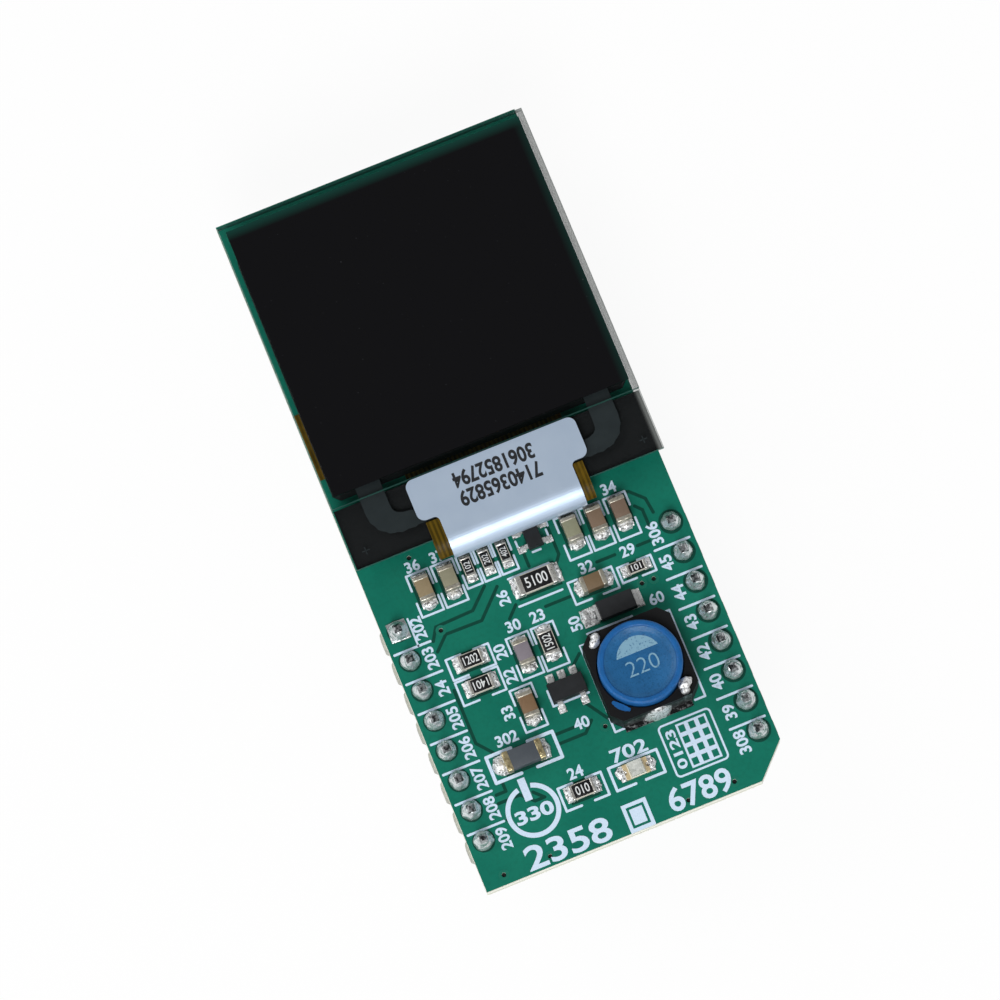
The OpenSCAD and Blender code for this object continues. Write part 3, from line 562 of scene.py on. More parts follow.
def turned(name, steps, sides=32):
    """A round solid: a disc extruded upwards through (radius, height) steps."""
    bpy.ops.mesh.primitive_circle_add(vertices=sides, radius=steps[0][0] * mm, fill_type="NGON",
                                      location=(0, 0, steps[0][1] * mm))
    piece = bpy.context.active_object
    piece.name = name
    bpy.ops.object.transform_apply(location=True)
    bpy.ops.object.mode_set(mode="EDIT")
    for before, after in zip(steps[:-1], steps[1:]):
        rise = (after[1] - before[1]) * mm
        bpy.ops.mesh.extrude_region_move(TRANSFORM_OT_translate={"value": (0, 0, rise)})
        share = after[0] / before[0]
        bpy.ops.transform.resize(value=(share, share, 1), center_override=(0, 0, 0))
    bpy.ops.mesh.select_all(action="SELECT")
    bpy.ops.mesh.normals_make_consistent(inside=False)
    bpy.ops.object.mode_set(mode="OBJECT")
    return piece


def block(name, low, high, rounding=0.0, steps=3):
    """A block between two corners in millimetres, with its edges rounded."""
    bpy.ops.mesh.primitive_cube_add(size=1, location=[(a + b) / 2 * mm for a, b in zip(low, high)])
    piece = bpy.context.active_object
    piece.name = name
    piece.scale = [(b - a) * mm for a, b in zip(low, high)]
    bpy.ops.object.transform_apply(location=True, rotation=True, scale=True)
    if rounding:
        finish(piece, "BEVEL", width=rounding * mm, segments=steps, limit_method="NONE")
    return piece


def roughen(piece, size, depth):
    """Pushes a surface in and out with soft lumps of a size, in millimetres."""
    wet = bpy.data.textures.new(piece.name, "CLOUDS")
    wet.noise_scale = size * mm
    wet.noise_depth = 1
    return finish(piece, "DISPLACE", texture=wet, strength=depth * mm, mid_level=0.5)


# segments with upright corners cut off, in a row on a web that joins them
housing_top = board_low.z / mm
segment = block("segment", (-1.43, -1.265, 0), (1.27, 1.265, housing_top))
bpy.ops.object.mode_set(mode="EDIT")
bpy.ops.mesh.select_mode(type="EDGE")
sketch = bmesh.from_edit_mesh(segment.data)
for edge in sketch.edges:
    edge.select = abs((edge.verts[0].co - edge.verts[1].co).z) > 1 * mm
sketch.select_flush_mode()
bpy.ops.mesh.bevel(offset=0.7 * mm, segments=1, affect="EDGES")
bpy.ops.mesh.select_mode(type="VERT")
bpy.ops.object.mode_set(mode="OBJECT")
finish(segment, "BEVEL", width=0.06 * mm, segments=2, limit_method="ANGLE")
web = block("web", (-0.85, -8.9, 0.12), (0.85, 8.9, housing_top - 0.12), 0.05, 1)
for x, word, turn in ((-row_x, "left", 0), (row_x, "right", 180)):
    row = [copy_to(segment, "segment", (x * mm, y * mm, 0), turn) for y in pin_rows]
    row.append(copy_to(web, "web", (x * mm, 0, 0)))
    housing = smooth(join(f"housing_{word}", row))
    finish_piece(housing, ivory)
    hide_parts(f"header_housing_{word}")
bpy.data.objects.remove(segment)
bpy.data.objects.remove(web)

# Hand-fed solder: it wets the pin and the land, and cools to a satin grey dome.
joint_master = turned("joint", [
    (0.8, -0.02), (0.79, 0.12), (0.75, 0.3), (0.68, 0.47), (0.59, 0.62),
    (0.51, 0.75), (0.45, 0.88), (0.4, 1.0), (0.34, 1.12)])
land_master = block("land", (-0.8, -0.8, -0.02), (0.8, 0.8, 0.14), 0.07)
joints = {"left": [], "right": []}
for x, copies in zip((-row_x, row_x), joints.values()):
    for k, y in enumerate(pin_rows):
        stretch = (1, 0.96 + 0.01 * k, 1)
        copies.append(copy_to(joint_master, "joint", (x * mm, y * mm, board_top), 40 * k, stretch))
joints["left"].append(copy_to(land_master, "land", (-row_x * mm, pin_rows[0] * mm, board_top)))
bpy.data.objects.remove(joint_master)
bpy.data.objects.remove(land_master)
joint_grey = mottled("satin solder, slowly cooled", "#B9C0C2", "#ECF1F2", 0.16, 4.0,
                     (0.35, 0.65, 0.2, 0.4), 0.12, metallic=0.82, rough=0.7,
                     second=(0.5, 2.0, 0.6), gloss_by=1, relief_by=1)
for word, copies in joints.items():
    piece = join(f"pin_joints_{word}", copies)
    finish(piece, "SUBSURF", levels=1, render_levels=1)
    roughen(piece, 0.6, 0.2)
    smooth(piece, 60)
    finish_piece(piece, joint_grey)
    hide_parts(f"pin_solder_{word}")


# ---- display panel ----------------------------------------------------------
# Two glass sheets sealed together with a black polariser on the upper one. The
# lower one sticks out as a ledge with deposited metal tracks, backed by black
# sheet, and foam carries the panel on the board.

# Float glass, cut and ground: dark and clear on its faces, frosted on its edges.
panel_glass, tree, place = new_material("float glass with ground edges")
side = upright(tree)
grit = add(tree, "TexNoise", {"Vector": place, "Scale": 1 / (0.25 * mm), "Detail": 2.0, "Roughness": 0.6})
# the ground edges carry painted light and shade: the long edges are painted pale where they catch the
# light, and the cut ones painted dark for the shade of the joint
axes = add(tree, "SeparateXYZ", [add(tree, "NewGeometry").outputs["Normal"]])
across = add(tree, "Math", [axes.outputs[0]], operation="ABSOLUTE")
across = add(tree, "MapRange", [across, 0.3, 0.7, 0.0, 1.0])
wall = add(tree, "Mix", {0: across, 6: "#2A5A51", 7: "#A6ACAA"}, data_type="RGBA")
face = add(tree, "Mix", {0: grit, 6: "#0C1614", 7: "#12201D"}, data_type="RGBA")
# the cutting wheel left a frosted strip along the right edge
glass_low, glass_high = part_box("display_rear_glass")
reach = add(tree, "SeparateXYZ", [place]).outputs[0]
frosted = add(tree, "MapRange", [reach, glass_high.x - 0.62 * mm, glass_high.x - 0.3 * mm, 0.0, 1.0])
face = add(tree, "Mix", {0: frosted, 6: face, 7: "#9B9F9D"}, data_type="RGBA")
clear = add(tree, "MapRange", [frosted, 0.0, 1.0, 0.05, 0.4])
shade = add(tree, "BsdfPrincipled", {
    "Base Color": add(tree, "Mix", {0: side, 6: face, 7: wall}, data_type="RGBA"),
    "Alpha": add(tree, "MapRange", [side, 0.0, 1.0, clear, 0.8]),
    "Roughness": add(tree, "MapRange", [side, 0.0, 1.0, 0.06, 0.6]), "Specular IOR Level": 0.3,
    "Normal": add(tree, "Bump", {"Height": grit, "Distance": 0.001 * mm})})
add(tree, "OutputMaterial", [shade])
dress("display_rear_glass", panel_glass)
dress("display_cover_glass", panel_glass)

# Laminated polariser: close to black, glossy, with a very faint orange peel.
black_film, tree, place = new_material("laminated black polariser")
peel, dust = [
    add(tree, "TexNoise", {"Vector": place, "Scale": 1 / (size * mm), "Detail": detail, "Roughness": 0.6})
    for size, detail in ((1.6, 2.0), (0.22, 1.0))]
# the cell ends short of the film, so green from below shows in the far and right margins
film_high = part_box("polariser")[1]
axes = add(tree, "SeparateXYZ", [place])
rims = add(tree, "CombineXYZ", [
    add(tree, "MapRange", [axes.outputs[0], film_high.x - 0.9 * mm, film_high.x, 0.0, 0.5]),
    add(tree, "MapRange", [axes.outputs[1], film_high.y - 0.9 * mm, film_high.y, 0.0, 1.0])])
rims = add(tree, "VectorMath", [rims], operation="LENGTH")
margin = add(tree, "MapRange", [rims, 0.1, 1.1, 0.0, 0.75])
dust = add(tree, "MapRange", [dust, 0.77, 0.83, 0.0, 0.5])
black = add(tree, "Mix", {0: dust, 6: "#101012", 7: "#4A4C50"}, data_type="RGBA")
shade = add(tree, "BsdfPrincipled", {
    "Base Color": add(tree, "Mix", {0: margin, 6: black, 7: "#15463D"}, data_type="RGBA"),
    "Roughness": 0.16, "Specular IOR Level": 0.16,
    "Normal": add(tree, "Bump", {"Height": peel, "Distance": 0.003 * mm})})
add(tree, "OutputMaterial", [shade])
dress("polariser", black_film)

# Closed-cell foam and die-cut sheet: matte blacks that swallow the light.
foam_black, tree, place = new_material("black closed-cell foam")
pores = add(tree, "TexVoronoi", {"Vector": place, "Scale": 1 / (0.18 * mm)})
shade = add(tree, "BsdfPrincipled", {
    "Base Color": add(tree, "Mix", {0: pores, 6: "#0B0C0E", 7: "#1C1D20"}, data_type="RGBA"),
    "Roughness": 0.95, "Specular IOR Level": 0.15,
    "Normal": add(tree, "Bump", {"Height": pores, "Distance": 0.03 * mm})})
add(tree, "OutputMaterial", [shade])
dress("foam_pad", foam_black)
sheet_black = mottled("die-cut matte black sheet", "#0A0C0E", "#121517", 0.2, 3.0, 0.7, 0.005, 0.2)
dress("driver_chip", sheet_black)
mask_low, mask_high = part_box("ledge_mask")
ledge_sheet = block("ledge_sheet", (glass_low.x / mm + 0.08, mask_low.y / mm, mask_low.z / mm),
                    (glass_high.x / mm - 0.05, mask_high.y / mm, mask_high.z / mm), 0.02, 1)
finish_piece(ledge_sheet, sheet_black)
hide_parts("ledge_mask")

# metal tracks on the ledge: a broad strip on each side that curves in to the film
panel_middle = (glass_low.x + glass_high.x) / 2 / mm
curve = [(9.55, 20.0), (9.55, 18.0), (9.5, 17.5), (9.3, 17.0), (8.9, 16.6), (8.3, 16.35), (7.4, 16.25),
         (5.9, 16.2)]
mark_x, mark_y, mark_reach = 11.6, 15.25, 0.28
tracks = draw("ledge_tracks")
for hand in (-1, 1):
    stroke([(panel_middle + hand * x, y) for x, y in curve], [2.1, 2.1, 2.0, 1.85, 1.65, 1.45, 1.25])
    x = panel_middle + hand * mark_x
    stroke([(x - mark_reach, mark_y), (x + mark_reach, mark_y)], 0.09)
    stroke([(x, mark_y - mark_reach), (x, mark_y + mark_reach)], 0.09)
raise_drawing(tracks, 0.004, glass_high.z - bite)
# Sputtered metal seen on dark glass: a thin grey veil, a little glossy.
track_grey = mottled("sputtered metal track on glass", "#202628", "#2A3133", 1.2, 2.0, 0.3, 0.0, 0.25)
finish_piece(tracks, track_grey)


# ---- display film and tape --------------------------------------------------
# Amber polyimide film with etched copper runs folds under the ledge to the
# board. A silver tape on black adhesive covers the chip and holds the fold.

# Polyimide with copper inside: glossy amber, with paler runs along its length.
amber, tree, place = new_material("polyimide film over etched copper")
# a wave's bands lie 0.31 / scale apart
runs = add(tree, "TexWave", {"Vector": place, "Scale": 0.31 / (0.36 * mm)}, bands_direction="X")
stripes = add(tree, "MapRange", [runs, 0.3, 0.7, 0.0, 1.0])
copper = add(tree, "Mix", {0: stripes, 6: "#3C3008", 7: "#5A4710"}, data_type="RGBA")
pools = add(tree, "TexNoise", {"Vector": place, "Scale": 1 / (1.5 * mm), "Detail": 3.0, "Roughness": 0.6})
pools = add(tree, "MapRange", [pools, 0.4, 0.7, 0.0, 0.5])
shade = add(tree, "BsdfPrincipled", {
    "Base Color": add(tree, "Mix", {0: pools, 6: copper, 7: "#745A18"}, data_type="RGBA"),
    "Roughness": 0.34, "Specular IOR Level": 0.12,
    "Normal": add(tree, "Bump", {"Height": runs, "Distance": 0.006 * mm})})
add(tree, "OutputMaterial", [shade])
dress("display_film", amber)

# Pressure-sensitive adhesive: soft, deep black, seen as a thin rim.
gum = mottled("black pressure-sensitive adhesive", "#08090B", "#141619", 0.15, 2.0, 0.5, 0.01, 0.2)
dress("tape_adhesive", gum)

# Aluminised polyester: a satin blue-grey sheet with a soft broad highlight and
# slight waves where it was rubbed down.
foil = mottled("satin aluminised polyester tape", "#BCCFE6", "#CBDCF0", 2.4, 2.0,
               (0.3, 0.7, 0.3, 0.4), 0.02, metallic=0.5, second=(0.07, 2.0, 0.6), gloss_by=1)
dress("silver_tape", foil)

tape_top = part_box("silver_tape")[1].z
rows = [numbers("tape_digits", body, (0.17, y), 1.33, tape_top - bite, 180, 6.7, 0.03, 0.01)
        for body, y in (("3061852794", 17.68), ("7140365829", 16.12))]
tape_digits = join("tape_digits", rows)
# Ink-jet print on polyester: flat black.
jet_black = mottled("ink-jet black", "#0C0D10", "#1D2026", 0.08, 2.0, 0.5)
finish_piece(tape_digits, jet_black)


# ---- chip parts -------------------------------------------------------------
# Fired ceramic blocks with metal wrapped round both ends: eight capacitors,
# nine resistors with a black glazed face and one ferrite bead.

# Fired barrier layer and tin on the ends: pale metal, lightly frosted.
end_tin = mottled("tin-plated chip ends", "#BDBCB8", "#F0EFEA", 0.1, 3.0, (0.3, 0.7, 0.24, 0.42),
                  0.08, metallic=0.85, second=(0.7, 2.0, 0.6), over=(0.5, 0.75, 0.5, "#A89F8E"),
                  relief_by=1)
# The same plating on the capacitors, warmer and duller from its longer firing.
warm_tin = mottled("tin-plated capacitor ends", "#9A968A", "#CFCBBD", 0.12, 3.0,
                   (0.3, 0.7, 0.26, 0.45), 0.06, metallic=0.7, second=(0.5, 2.0, 0.6),
                   over=(0.45, 0.7, 0.6, "#8C8472"), relief_by=1)


def fired(name, dark, light, roughness=0.5, specular=0.4):
    """Fired ceramic: an even body with fine mottling and paler patches."""
    return mottled(name, dark, light, 0.07, 4.0, roughness, 0.01, specular, rough=0.7,
                   second=(0.6, 2.0, 0.6), over=(0.4, 0.7, 0.4, light))


def chip_set(size, end_share, glazed):
    """Masters of one chip size at the origin, along X: body, ends and glaze."""
    long, wide, high = size
    end = wide * end_share
    x, y = long / 2, wide / 2
    body = block("body", (0.03 - x, 0.03 - y, 0.02), (x - 0.03, y - 0.03, high - 0.03), 0.05, 2)
    caps = [block("cap", (low, -y, 0), (low + end, y, high), 0.09) for low in (-x, x - end)]
    masters = {"body": smooth(body), "ends": smooth(join("ends", caps))}
    if glazed:
        glaze_x, glaze_y = x - end + 0.02, y - 0.09
        glaze = block("glaze", (-glaze_x, -glaze_y, high - 0.06), (glaze_x, glaze_y, high), 0.03, 2)
        masters["glaze"] = smooth(glaze)
    return masters


def place_chip(node, masters, materials):
    """Copies a chip's masters over its CAD node, which they replace."""
    low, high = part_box(node)
    middle = ((low.x + high.x) / 2, (low.y + high.y) / 2, low.z)
    turn = 90 if high.y - low.y > high.x - low.x else 0
    for part, master in masters.items():
        piece = copy_to(master, f"{node}_{part}", middle, turn)
        finish_piece(piece, materials[part])
        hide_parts(node)


cap_clays = {
    1: ("#7A6B4E", "#948468"), 2: ("#76725C", "#918E78"), 3: ("#72725A", "#8F8F78"),
    4: ("#66533F", "#7C6857"), 5: ("#635141", "#786557"), 6: ("#62503A", "#78644A"),
    7: ("#716A72", "#878087"), 8: ("#6A5038", "#80664A"),
}
cap_set = chip_set((2.0, 1.25, 1.25), 0.3, False)
for number, (dark, light) in cap_clays.items():
    clay = fired(f"fired titanate ceramic {number}", dark, light)
    place_chip(f"capacitor_{number}", cap_set, {"body": clay, "ends": warm_tin})

# Alumina is white and dense; the glaze over the resistor track is near black.
alumina = fired("pressed white alumina", "#BDB8AC", "#D8D4C8")
glaze = fired("black glass glaze", "#0C0C0E", "#17171A", 0.3, 0.35)
resistor_sets = {
    "small": chip_set((1.65, 0.85, 0.45), 0.3, True), "medium": chip_set((2.0, 1.25, 0.5), 0.22, True),
    "large": chip_set((3.2, 1.6, 0.6), 0.3, True),
}
resistor_kinds = ["small"] * 4 + ["large"] + ["medium"] * 4
for number, kind in enumerate(resistor_kinds, 1):
    place_chip(f"resistor_{number}", resistor_sets[kind],
               {"body": alumina, "ends": end_tin, "glaze": glaze})
bead_set = chip_set((3.2, 1.6, 1.1), 0.32, False)
# The same plating again, yellowed by heat: a dull gold with bright scratches.
gilt = mottled("heat-yellowed plated bead ends", "#A8986E", "#E0D3AA", 0.12, 3.0, 0.32, 0.08,
               metallic=0.8, second=(0.4, 2.0, 0.6), over=(0.45, 0.65, 0.7, "#7C6C48"),
               relief_by=1)
grey_ferrite = fired("sintered grey ferrite", "#3C4249", "#4C5258")
place_chip("ferrite_bead", bead_set, {"body": grey_ferrite, "ends": gilt})
for masters in (cap_set, bead_set, *resistor_sets.values()):
    for master in masters.values():
        bpy.data.objects.remove(master)

# pale digits fired on the glaze: text, cap height, width, turn
resistor_marks = {
    1: ("102", 0.5, 0.78, 90), 2: ("202", 0.5, 0.78, 90), 3: ("402", 0.5, 0.78, 90),
    4: ("101", 0.5, 0.78, 0), 5: ("5100", 0.86, 1.8, 0), 6: ("1202", 0.68, 1.2, 0),
    7: ("1401", 0.68, 1.2, 180), 8: ("1502", 0.68, 1.2, 90), 9: ("010", 0.72, 1.1, 0),
}
chip_digits = []
for number, (body, cap, width, turn) in resistor_marks.items():
    low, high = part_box(f"resistor_{number}")
    centre = ((low.x + high.x) / 2 / mm, (low.y + high.y) / 2 / mm)
    chip_digits.append(numbers("digits", body, centre, cap, high.z - bite, turn, width, 0.008, 0.006))
# Fired ceramic ink: off-white, thin, slightly broken up.
mark_white = fired("fired off-white marking", "#BFC3C4", "#ECEEEE", 0.6, 0.2)
finish_piece(join("resistor_digits", chip_digits), mark_white)


# ---- diode, regulator and switch --------------------------------------------
# Small epoxy bodies moulded round tinned lead frames. Two broad tabs carry the
# diode, and bent leads carry the regulator and the switch on their pads.

# Filled epoxy from a spark-eroded mould: charcoal, matte and finely grained.
epoxy = mottled("moulded charcoal epoxy", "#141618", "#282A2D", 0.9, 2.0, (0.3, 0.7, 0.45, 0.65),
                0.012, 0.25, second=(0.05, 3.0, 0.6), gloss_by=1, relief_by=1)
for node in ("diode_body", "regulator_body", "switch_body"):
    dress(node, epoxy)

# Tin-dipped copper leads: bright, with soft dull patches.
lead_tin = mottled("tin-dipped lead frame", "#D2D4D6", "#FAFAF8", 0.15, 3.0, (0.3, 0.7, 0.24, 0.44),
                   0.03, metallic=0.65)
for node in ("diode_terminals", "regulator_leads", "switch_leads"):
    dress(node, lead_tin)


# ---- shielded inductor ------------------------------------------------------
# A painted ferrite ring and drum core stand in a black resin tray. Glue fills
# the gap between them, and the winding's ends are soldered to tabs on the tray.

# Moulded resin: black, dull, and finely grained all over.
tray_black = mottled("moulded black resin", "#070708", "#131315", 0.12, 3.0, 0.55, 0.01, 0.2)
dress("inductor_base", tray_black)
# Tinned clip, darker than the other tin: a dull dark metal with lighter patches.
dark_tin = mottled("dark tinned clip", "#121315", "#9A9C9E", 0.3, 3.0, 0.35, 0.04, metallic=0.5,
                   cover=(0.52, 0.66, 0.0, 1.0))
dress("inductor_terminals", dark_tin)


def paint(name, dark, light, roughness):
    """Sprayed paint on sintered ferrite, whose pores show as small dimples."""
    return mottled(name, dark, light, 1.6, 2.0, roughness, 0.03, 0.25,
                   second=(0.16, 4.0, 0.65), over=(0.52, 0.68, 0.7, dark), relief_by=1)


# Sprayed satin enamel: a strong blue, duller on the sunk drum than on the ring.
ring_blue = paint("sprayed blue enamel on ferrite", "#154A7E", "#1F6AB0", 0.36)
drum_blue = paint("sprayed blue enamel on the drum", "#184A74", "#235F92", 0.5)
dress("inductor_ring", ring_blue)
dress("inductor_drum", drum_blue)
# Enamelled wire, wound in level turns: copper under a clear brown coat.
wire, tree, place = new_material("enamelled copper wire")
turns = add(tree, "TexWave", {"Vector": place, "Scale": 0.31 / (0.2 * mm)}, bands_direction="Z")
shade = add(tree, "BsdfPrincipled", {
    "Base Color": add(tree, "Mix", {0: turns, 6: "#8A4A22", 7: "#C47A44"}, data_type="RGBA"),
    "Metallic": 1.0, "Roughness": 0.35,
    "Normal": add(tree, "Bump", {"Height": turns, "Distance": 0.04 * mm})})
add(tree, "OutputMaterial", [shade])
dress("inductor_winding", wire)

drum_low, drum_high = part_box("inductor_drum")
ring_low, ring_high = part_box("inductor_ring")
hub_x, hub_y = (drum_low.x + drum_high.x) / 2, (drum_low.y + drum_high.y) / 2
drum_radius = (drum_high.x - drum_low.x) / 2 / mm
rim = (ring_high.z - drum_high.z) / mm
# the glue that fills the gap: a ring with a sunk, sloping face
glue_master = turned("glue", [
    (drum_radius + 0.13, -0.3), (drum_radius + 0.13, rim - 0.06), (drum_radius - 0.02, rim - 0.13),
    (drum_radius - 0.16, 0.07), (drum_radius - 0.3, 0.012)], 64)
glue = copy_to(glue_master, "inductor_glue", (hub_x, hub_y, drum_high.z))
bpy.data.objects.remove(glue_master)
roughen(glue, 0.5, 0.03)
smooth(glue, 50)
finish_piece(glue, paint("enamel over set glue", "#16466F", "#2C6FA6", 0.3))

# half disc and number, stencilled on the drum
face_top = drum_high.z + 0.012 * mm
half_disc = draw("inductor_half_disc")
disc(hub_x / mm + 0.1, hub_y / mm + 0.3, 1.78, 64)
bpy.ops.mesh.bisect(plane_co=(0, hub_y + 0.78 * mm, 0), plane_no=(0, 1, 0), clear_inner=True)
raise_drawing(half_disc, 0.012, face_top - 0.004 * mm)
stencil_digits = numbers("stencil_digits", "220", (hub_x / mm + 0.12, hub_y / mm - 0.28), 1.22,
                         face_top - 0.004 * mm, 0, 2.6, -0.012, 0.012)
stencil = join("inductor_stencil", [half_disc, stencil_digits])
# Stencilled enamel: pale blue-grey, thin enough for the pores to break it up.
pale = mottled("stencilled pale enamel", "#7CA4BA", "#436F92", 0.17, 3.0, 0.5, 0.02, 0.3,
               cover=(0.56, 0.66, 0.0, 1.0), rough=0.65)
finish_piece(stencil, pale)

# a run of the same blue paint along the ring, on the tray's near left corner
paint_run = draw("inductor_paint_run")
arc = [math.radians(a) for a in (214, 218, 222, 226, 230, 234)]
stroke([(hub_x / mm + 3.66 * math.cos(a), hub_y / mm + 3.66 * math.sin(a)) for a in arc],
       [0.3, 0.42, 0.48, 0.42, 0.3])
raise_drawing(paint_run, 0.16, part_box("inductor_base")[1].z - 0.04 * mm)
finish_piece(smooth(paint_run), ring_blue)


# ---- lamp -------------------------------------------------------------------
# A light-emitting die under a clear resin block on a strip of white laminate
# with gilt ends.

base_low, base_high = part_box("lamp_base")
lamp_x = (base_low.x + base_high.x) / 2
# White laminate, plated with gold at both ends: cream with satin yellowish caps.
strip, tree, place = new_material("white laminate with gilt ends")
reach = add(tree, "Math", [add(tree, "SeparateXYZ", [place]).outputs[0], lamp_x], operation="SUBTRACT")
reach = add(tree, "Math", [reach], operation="ABSOLUTE")
ends = add(tree, "MapRange", [reach, 0.62 * mm, 0.68 * mm, 0.0, 1.0])
grain = add(tree, "TexNoise", {"Vector": place, "Scale": 1 / (0.2 * mm), "Detail": 3.0, "Roughness": 0.6})
cream = add(tree, "Mix", {0: grain, 6: "#D9D2BC", 7: "#EFEADC"}, data_type="RGBA")
shade = add(tree, "BsdfPrincipled", {
    "Base Color": add(tree, "Mix", {0: ends, 6: cream, 7: "#D8C49A"}, data_type="RGBA"), "Roughness": 0.38,
    "Metallic": add(tree, "MapRange", [ends, 0.0, 1.0, 0.0, 0.35]),
    "Normal": add(tree, "Bump", {"Height": grain, "Distance": 0.01 * mm})})
add(tree, "OutputMaterial", [shade])
dress("lamp_base", strip)

# Transfer-moulded epoxy: water-clear and glossy, slightly milky in its depth.
resin, tree, place = new_material("clear moulded epoxy")
milk = add(tree, "TexNoise", {"Vector": place, "Scale": 1 / (0.3 * mm), "Detail": 3.0, "Roughness": 0.6})
shade = add(tree, "BsdfPrincipled", {
    "Base Color": add(tree, "Mix", {0: milk, 6: "#CFD8D2", 7: "#F2F2EC"}, data_type="RGBA"),
    "Alpha": add(tree, "MapRange", [milk, 0.3, 0.7, 0.5, 0.8]), "Roughness": 0.14,
    "Normal": add(tree, "Bump", {"Height": milk, "Distance": 0.02 * mm})})
add(tree, "OutputMaterial", [shade])
dress("lamp_lens", resin)
crystal = mottled("cut semiconductor die", "#C9973A", "#E5C266", 0.1, 2.0, 0.3)
dress("lamp_die", crystal)


# ---- solder of the chip parts -----------------------------------------------
# Printed solder paste, melted under the parts: thin tinned pads, fillets up the
# ends, and bright uneven lumps where it was touched up by hand.

# Reflowed solder: bright and wrinkled, with small sharp glints and brown specks of flux. The inductor's
# broad pad is coloured darker beyond its touched-up middle, with light flecks.
bright, tree, place = new_material("bright reflowed solder")
wrinkle, fine = [
    add(tree, "TexNoise", {"Vector": place, "Scale": 1 / (size * mm), "Detail": detail, "Roughness": 0.6})
    for size, detail in ((0.22, 3.0), (0.06, 2.0))]
pad_middle = (hub_x - 0.2 * mm, hub_y - 4.15 * mm, 0)
reach = add(tree, "Mapping", {"Vector": place, "Location": [-c for c in pad_middle]})
reach = add(tree, "SeparateXYZ", [add(tree, "VectorMath", [reach], operation="ABSOLUTE")]).outputs
outer = add(tree, "MapRange", [reach[0], 1.2 * mm, 1.6 * mm, 0.0, 1.0])
for axis, full, none in ((1, 0.6, 0.8), (0, 3.4, 3.5)):
    fade = add(tree, "MapRange", [reach[axis], full * mm, none * mm, 1.0, 0.0])
    outer = add(tree, "Math", [outer, fade], operation="MULTIPLY")
wet = add(tree, "MapRange", [wrinkle, 0.55, 0.68, 0.0, 1.0])
dark_pad_ends = add(tree, "Mix", {0: wet, 6: "#17191B", 7: "#A4A8AB"}, data_type="RGBA")
clean = add(tree, "Mix", {0: fine, 6: "#E2E4E6", 7: "#FFFFFF"}, data_type="RGBA")
specks = add(tree, "MapRange", [wrinkle, 0.39, 0.47, 0.8, 0.0])
clean = add(tree, "Mix", {0: specks, 6: clean, 7: "#403D36"}, data_type="RGBA")
shade = add(tree, "BsdfPrincipled", {
    "Base Color": add(tree, "Mix", {0: outer, 6: clean, 7: dark_pad_ends}, data_type="RGBA"), "Metallic": 0.55,
    "Roughness": add(tree, "MapRange", [fine, 0.3, 0.7, 0.2, 0.42]),
    "Normal": add(tree, "Bump", {"Height": wrinkle, "Distance": 0.1 * mm})})
add(tree, "OutputMaterial", [shade])
dress("chip_solder", bright)

# a lump of unit size: half a ball on a flat foot
bpy.ops.mesh.primitive_ico_sphere_add(subdivisions=3, radius=0.5 * mm)
lump_master = bpy.context.active_object
bpy.ops.object.mode_set(mode="EDIT")
bpy.ops.mesh.select_all(action="SELECT")
bpy.ops.mesh.bisect(plane_co=(0, 0, -0.1 * mm), plane_no=(0, 0, 1), clear_inner=True, use_fill=True)
bpy.ops.object.mode_set(mode="OBJECT")

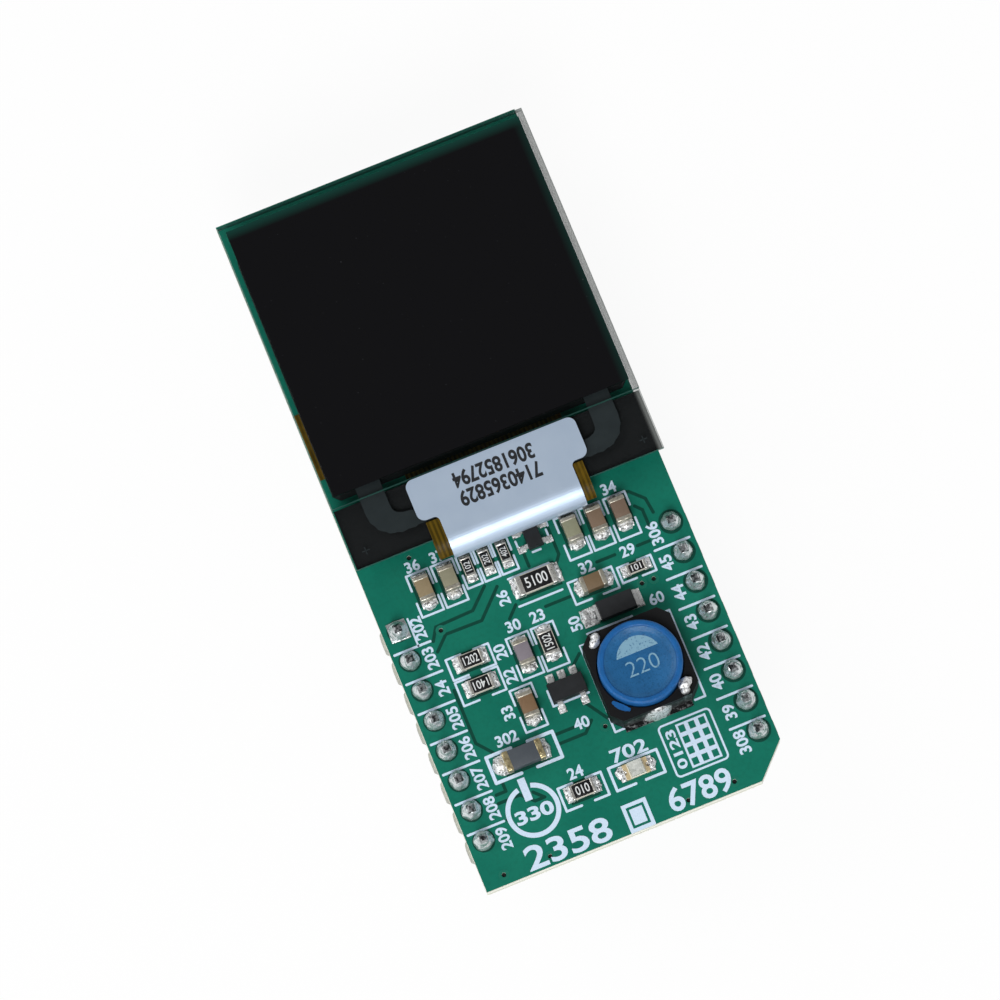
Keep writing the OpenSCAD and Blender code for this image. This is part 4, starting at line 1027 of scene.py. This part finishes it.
# place, turn and size (along, across, height) of each lump, in millimetres
lumps = [
    (-8.33, 9.85, 0, 1.15, 0.75, 0.9), (-6.25, 9.85, 0, 1.1, 0.7, 0.85), (-8.33, 12.3, 0, 1.0, 0.5, 0.5),
    (-6.25, 12.3, 0, 1.0, 0.5, 0.5), (4.03, 9.85, 0, 1.1, 0.75, 0.8), (6.1, 9.85, 0, 1.1, 0.75, 0.8),
    (8.1, 9.85, 0, 1.1, 0.75, 0.8), (2.75, 6.6, 90, 1.0, 0.7, 0.6), (5.3, 6.55, 90, 1.0, 0.7, 0.6),
    (-3.08, 2.25, 0, 1.1, 0.75, 0.8), (-3.08, 4.75, 0, 1.0, 0.5, 0.5), (-4.3, -1.7, 0, 1.1, 0.75, 0.8),
    (-4.3, 0.75, 0, 1.0, 0.5, 0.3), (-1.0, 2.4, 0, 1.0, 0.7, 0.45), (-1.0, 4.8, 0, 1.0, 0.55, 0.4),
    (-4.53, 10.5, 0, 0.75, 0.5, 0.4), (-3.02, 10.5, 0, 0.75, 0.5, 0.4), (-1.52, 10.5, 0, 0.75, 0.5, 0.4),
    (-1.8, 8.45, 90, 1.4, 0.5, 0.5), (1.8, 8.5, 90, 1.4, 0.5, 0.5), (-8.2, 4.6, 90, 1.1, 0.55, 0.4),
    (-5.9, 4.6, 90, 1.1, 0.5, 0.4), (-8.2, 2.5, 90, 1.1, 0.55, 0.4), (-5.9, 2.5, 90, 1.1, 0.5, 0.4),
    (-8.15, -4.0, 90, 1.5, 1.0, 1.0), (-4.25, -4.0, 90, 1.4, 0.5, 0.6), (-4.1, -8.1, 90, 1.1, 0.55, 0.4),
    (-1.7, -8.1, 90, 1.1, 0.55, 0.4), (0.25, -8.1, 90, 1.0, 0.7, 0.4), (2.8, -8.25, 60, 0.9, 0.6, 0.35),
    (6.55, 6.5, 90, 0.7, 0.5, 0.35), (8.55, 6.5, 90, 0.7, 0.5, 0.35), (2.4, 4.3, 90, 1.25, 0.75, 0.6),
    (3.12, 4.3, 90, 1.15, 0.28, 0.9), (4.75, -4.85, 0, 2.3, 0.85, 4.7),
]
blobs = [copy_to(lump_master, "lump", (x * mm, y * mm, board_top + 0.03 * mm + 0.1 * height * mm), turn,
                 (along, across, height))
         for x, y, turn, along, across, height in lumps]
tab_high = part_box("inductor_terminals")[1]
for across_x, across_y, turn, along, wide in ((-2.6, 2.92, 45, 1.15, 0.75), (2.62, -2.75, 30, 1.25, 0.9)):
    blobs.append(copy_to(lump_master, "lump", (hub_x + across_x * mm, hub_y + across_y * mm,
                                               tab_high.z + 0.05 * mm), turn, (along, wide, 0.8)))
bpy.data.objects.remove(lump_master)
solder_lumps = join("solder_lumps", blobs)
roughen(solder_lumps, 0.32, 0.32)
smooth(solder_lumps, 60)
finish_piece(solder_lumps, bright)
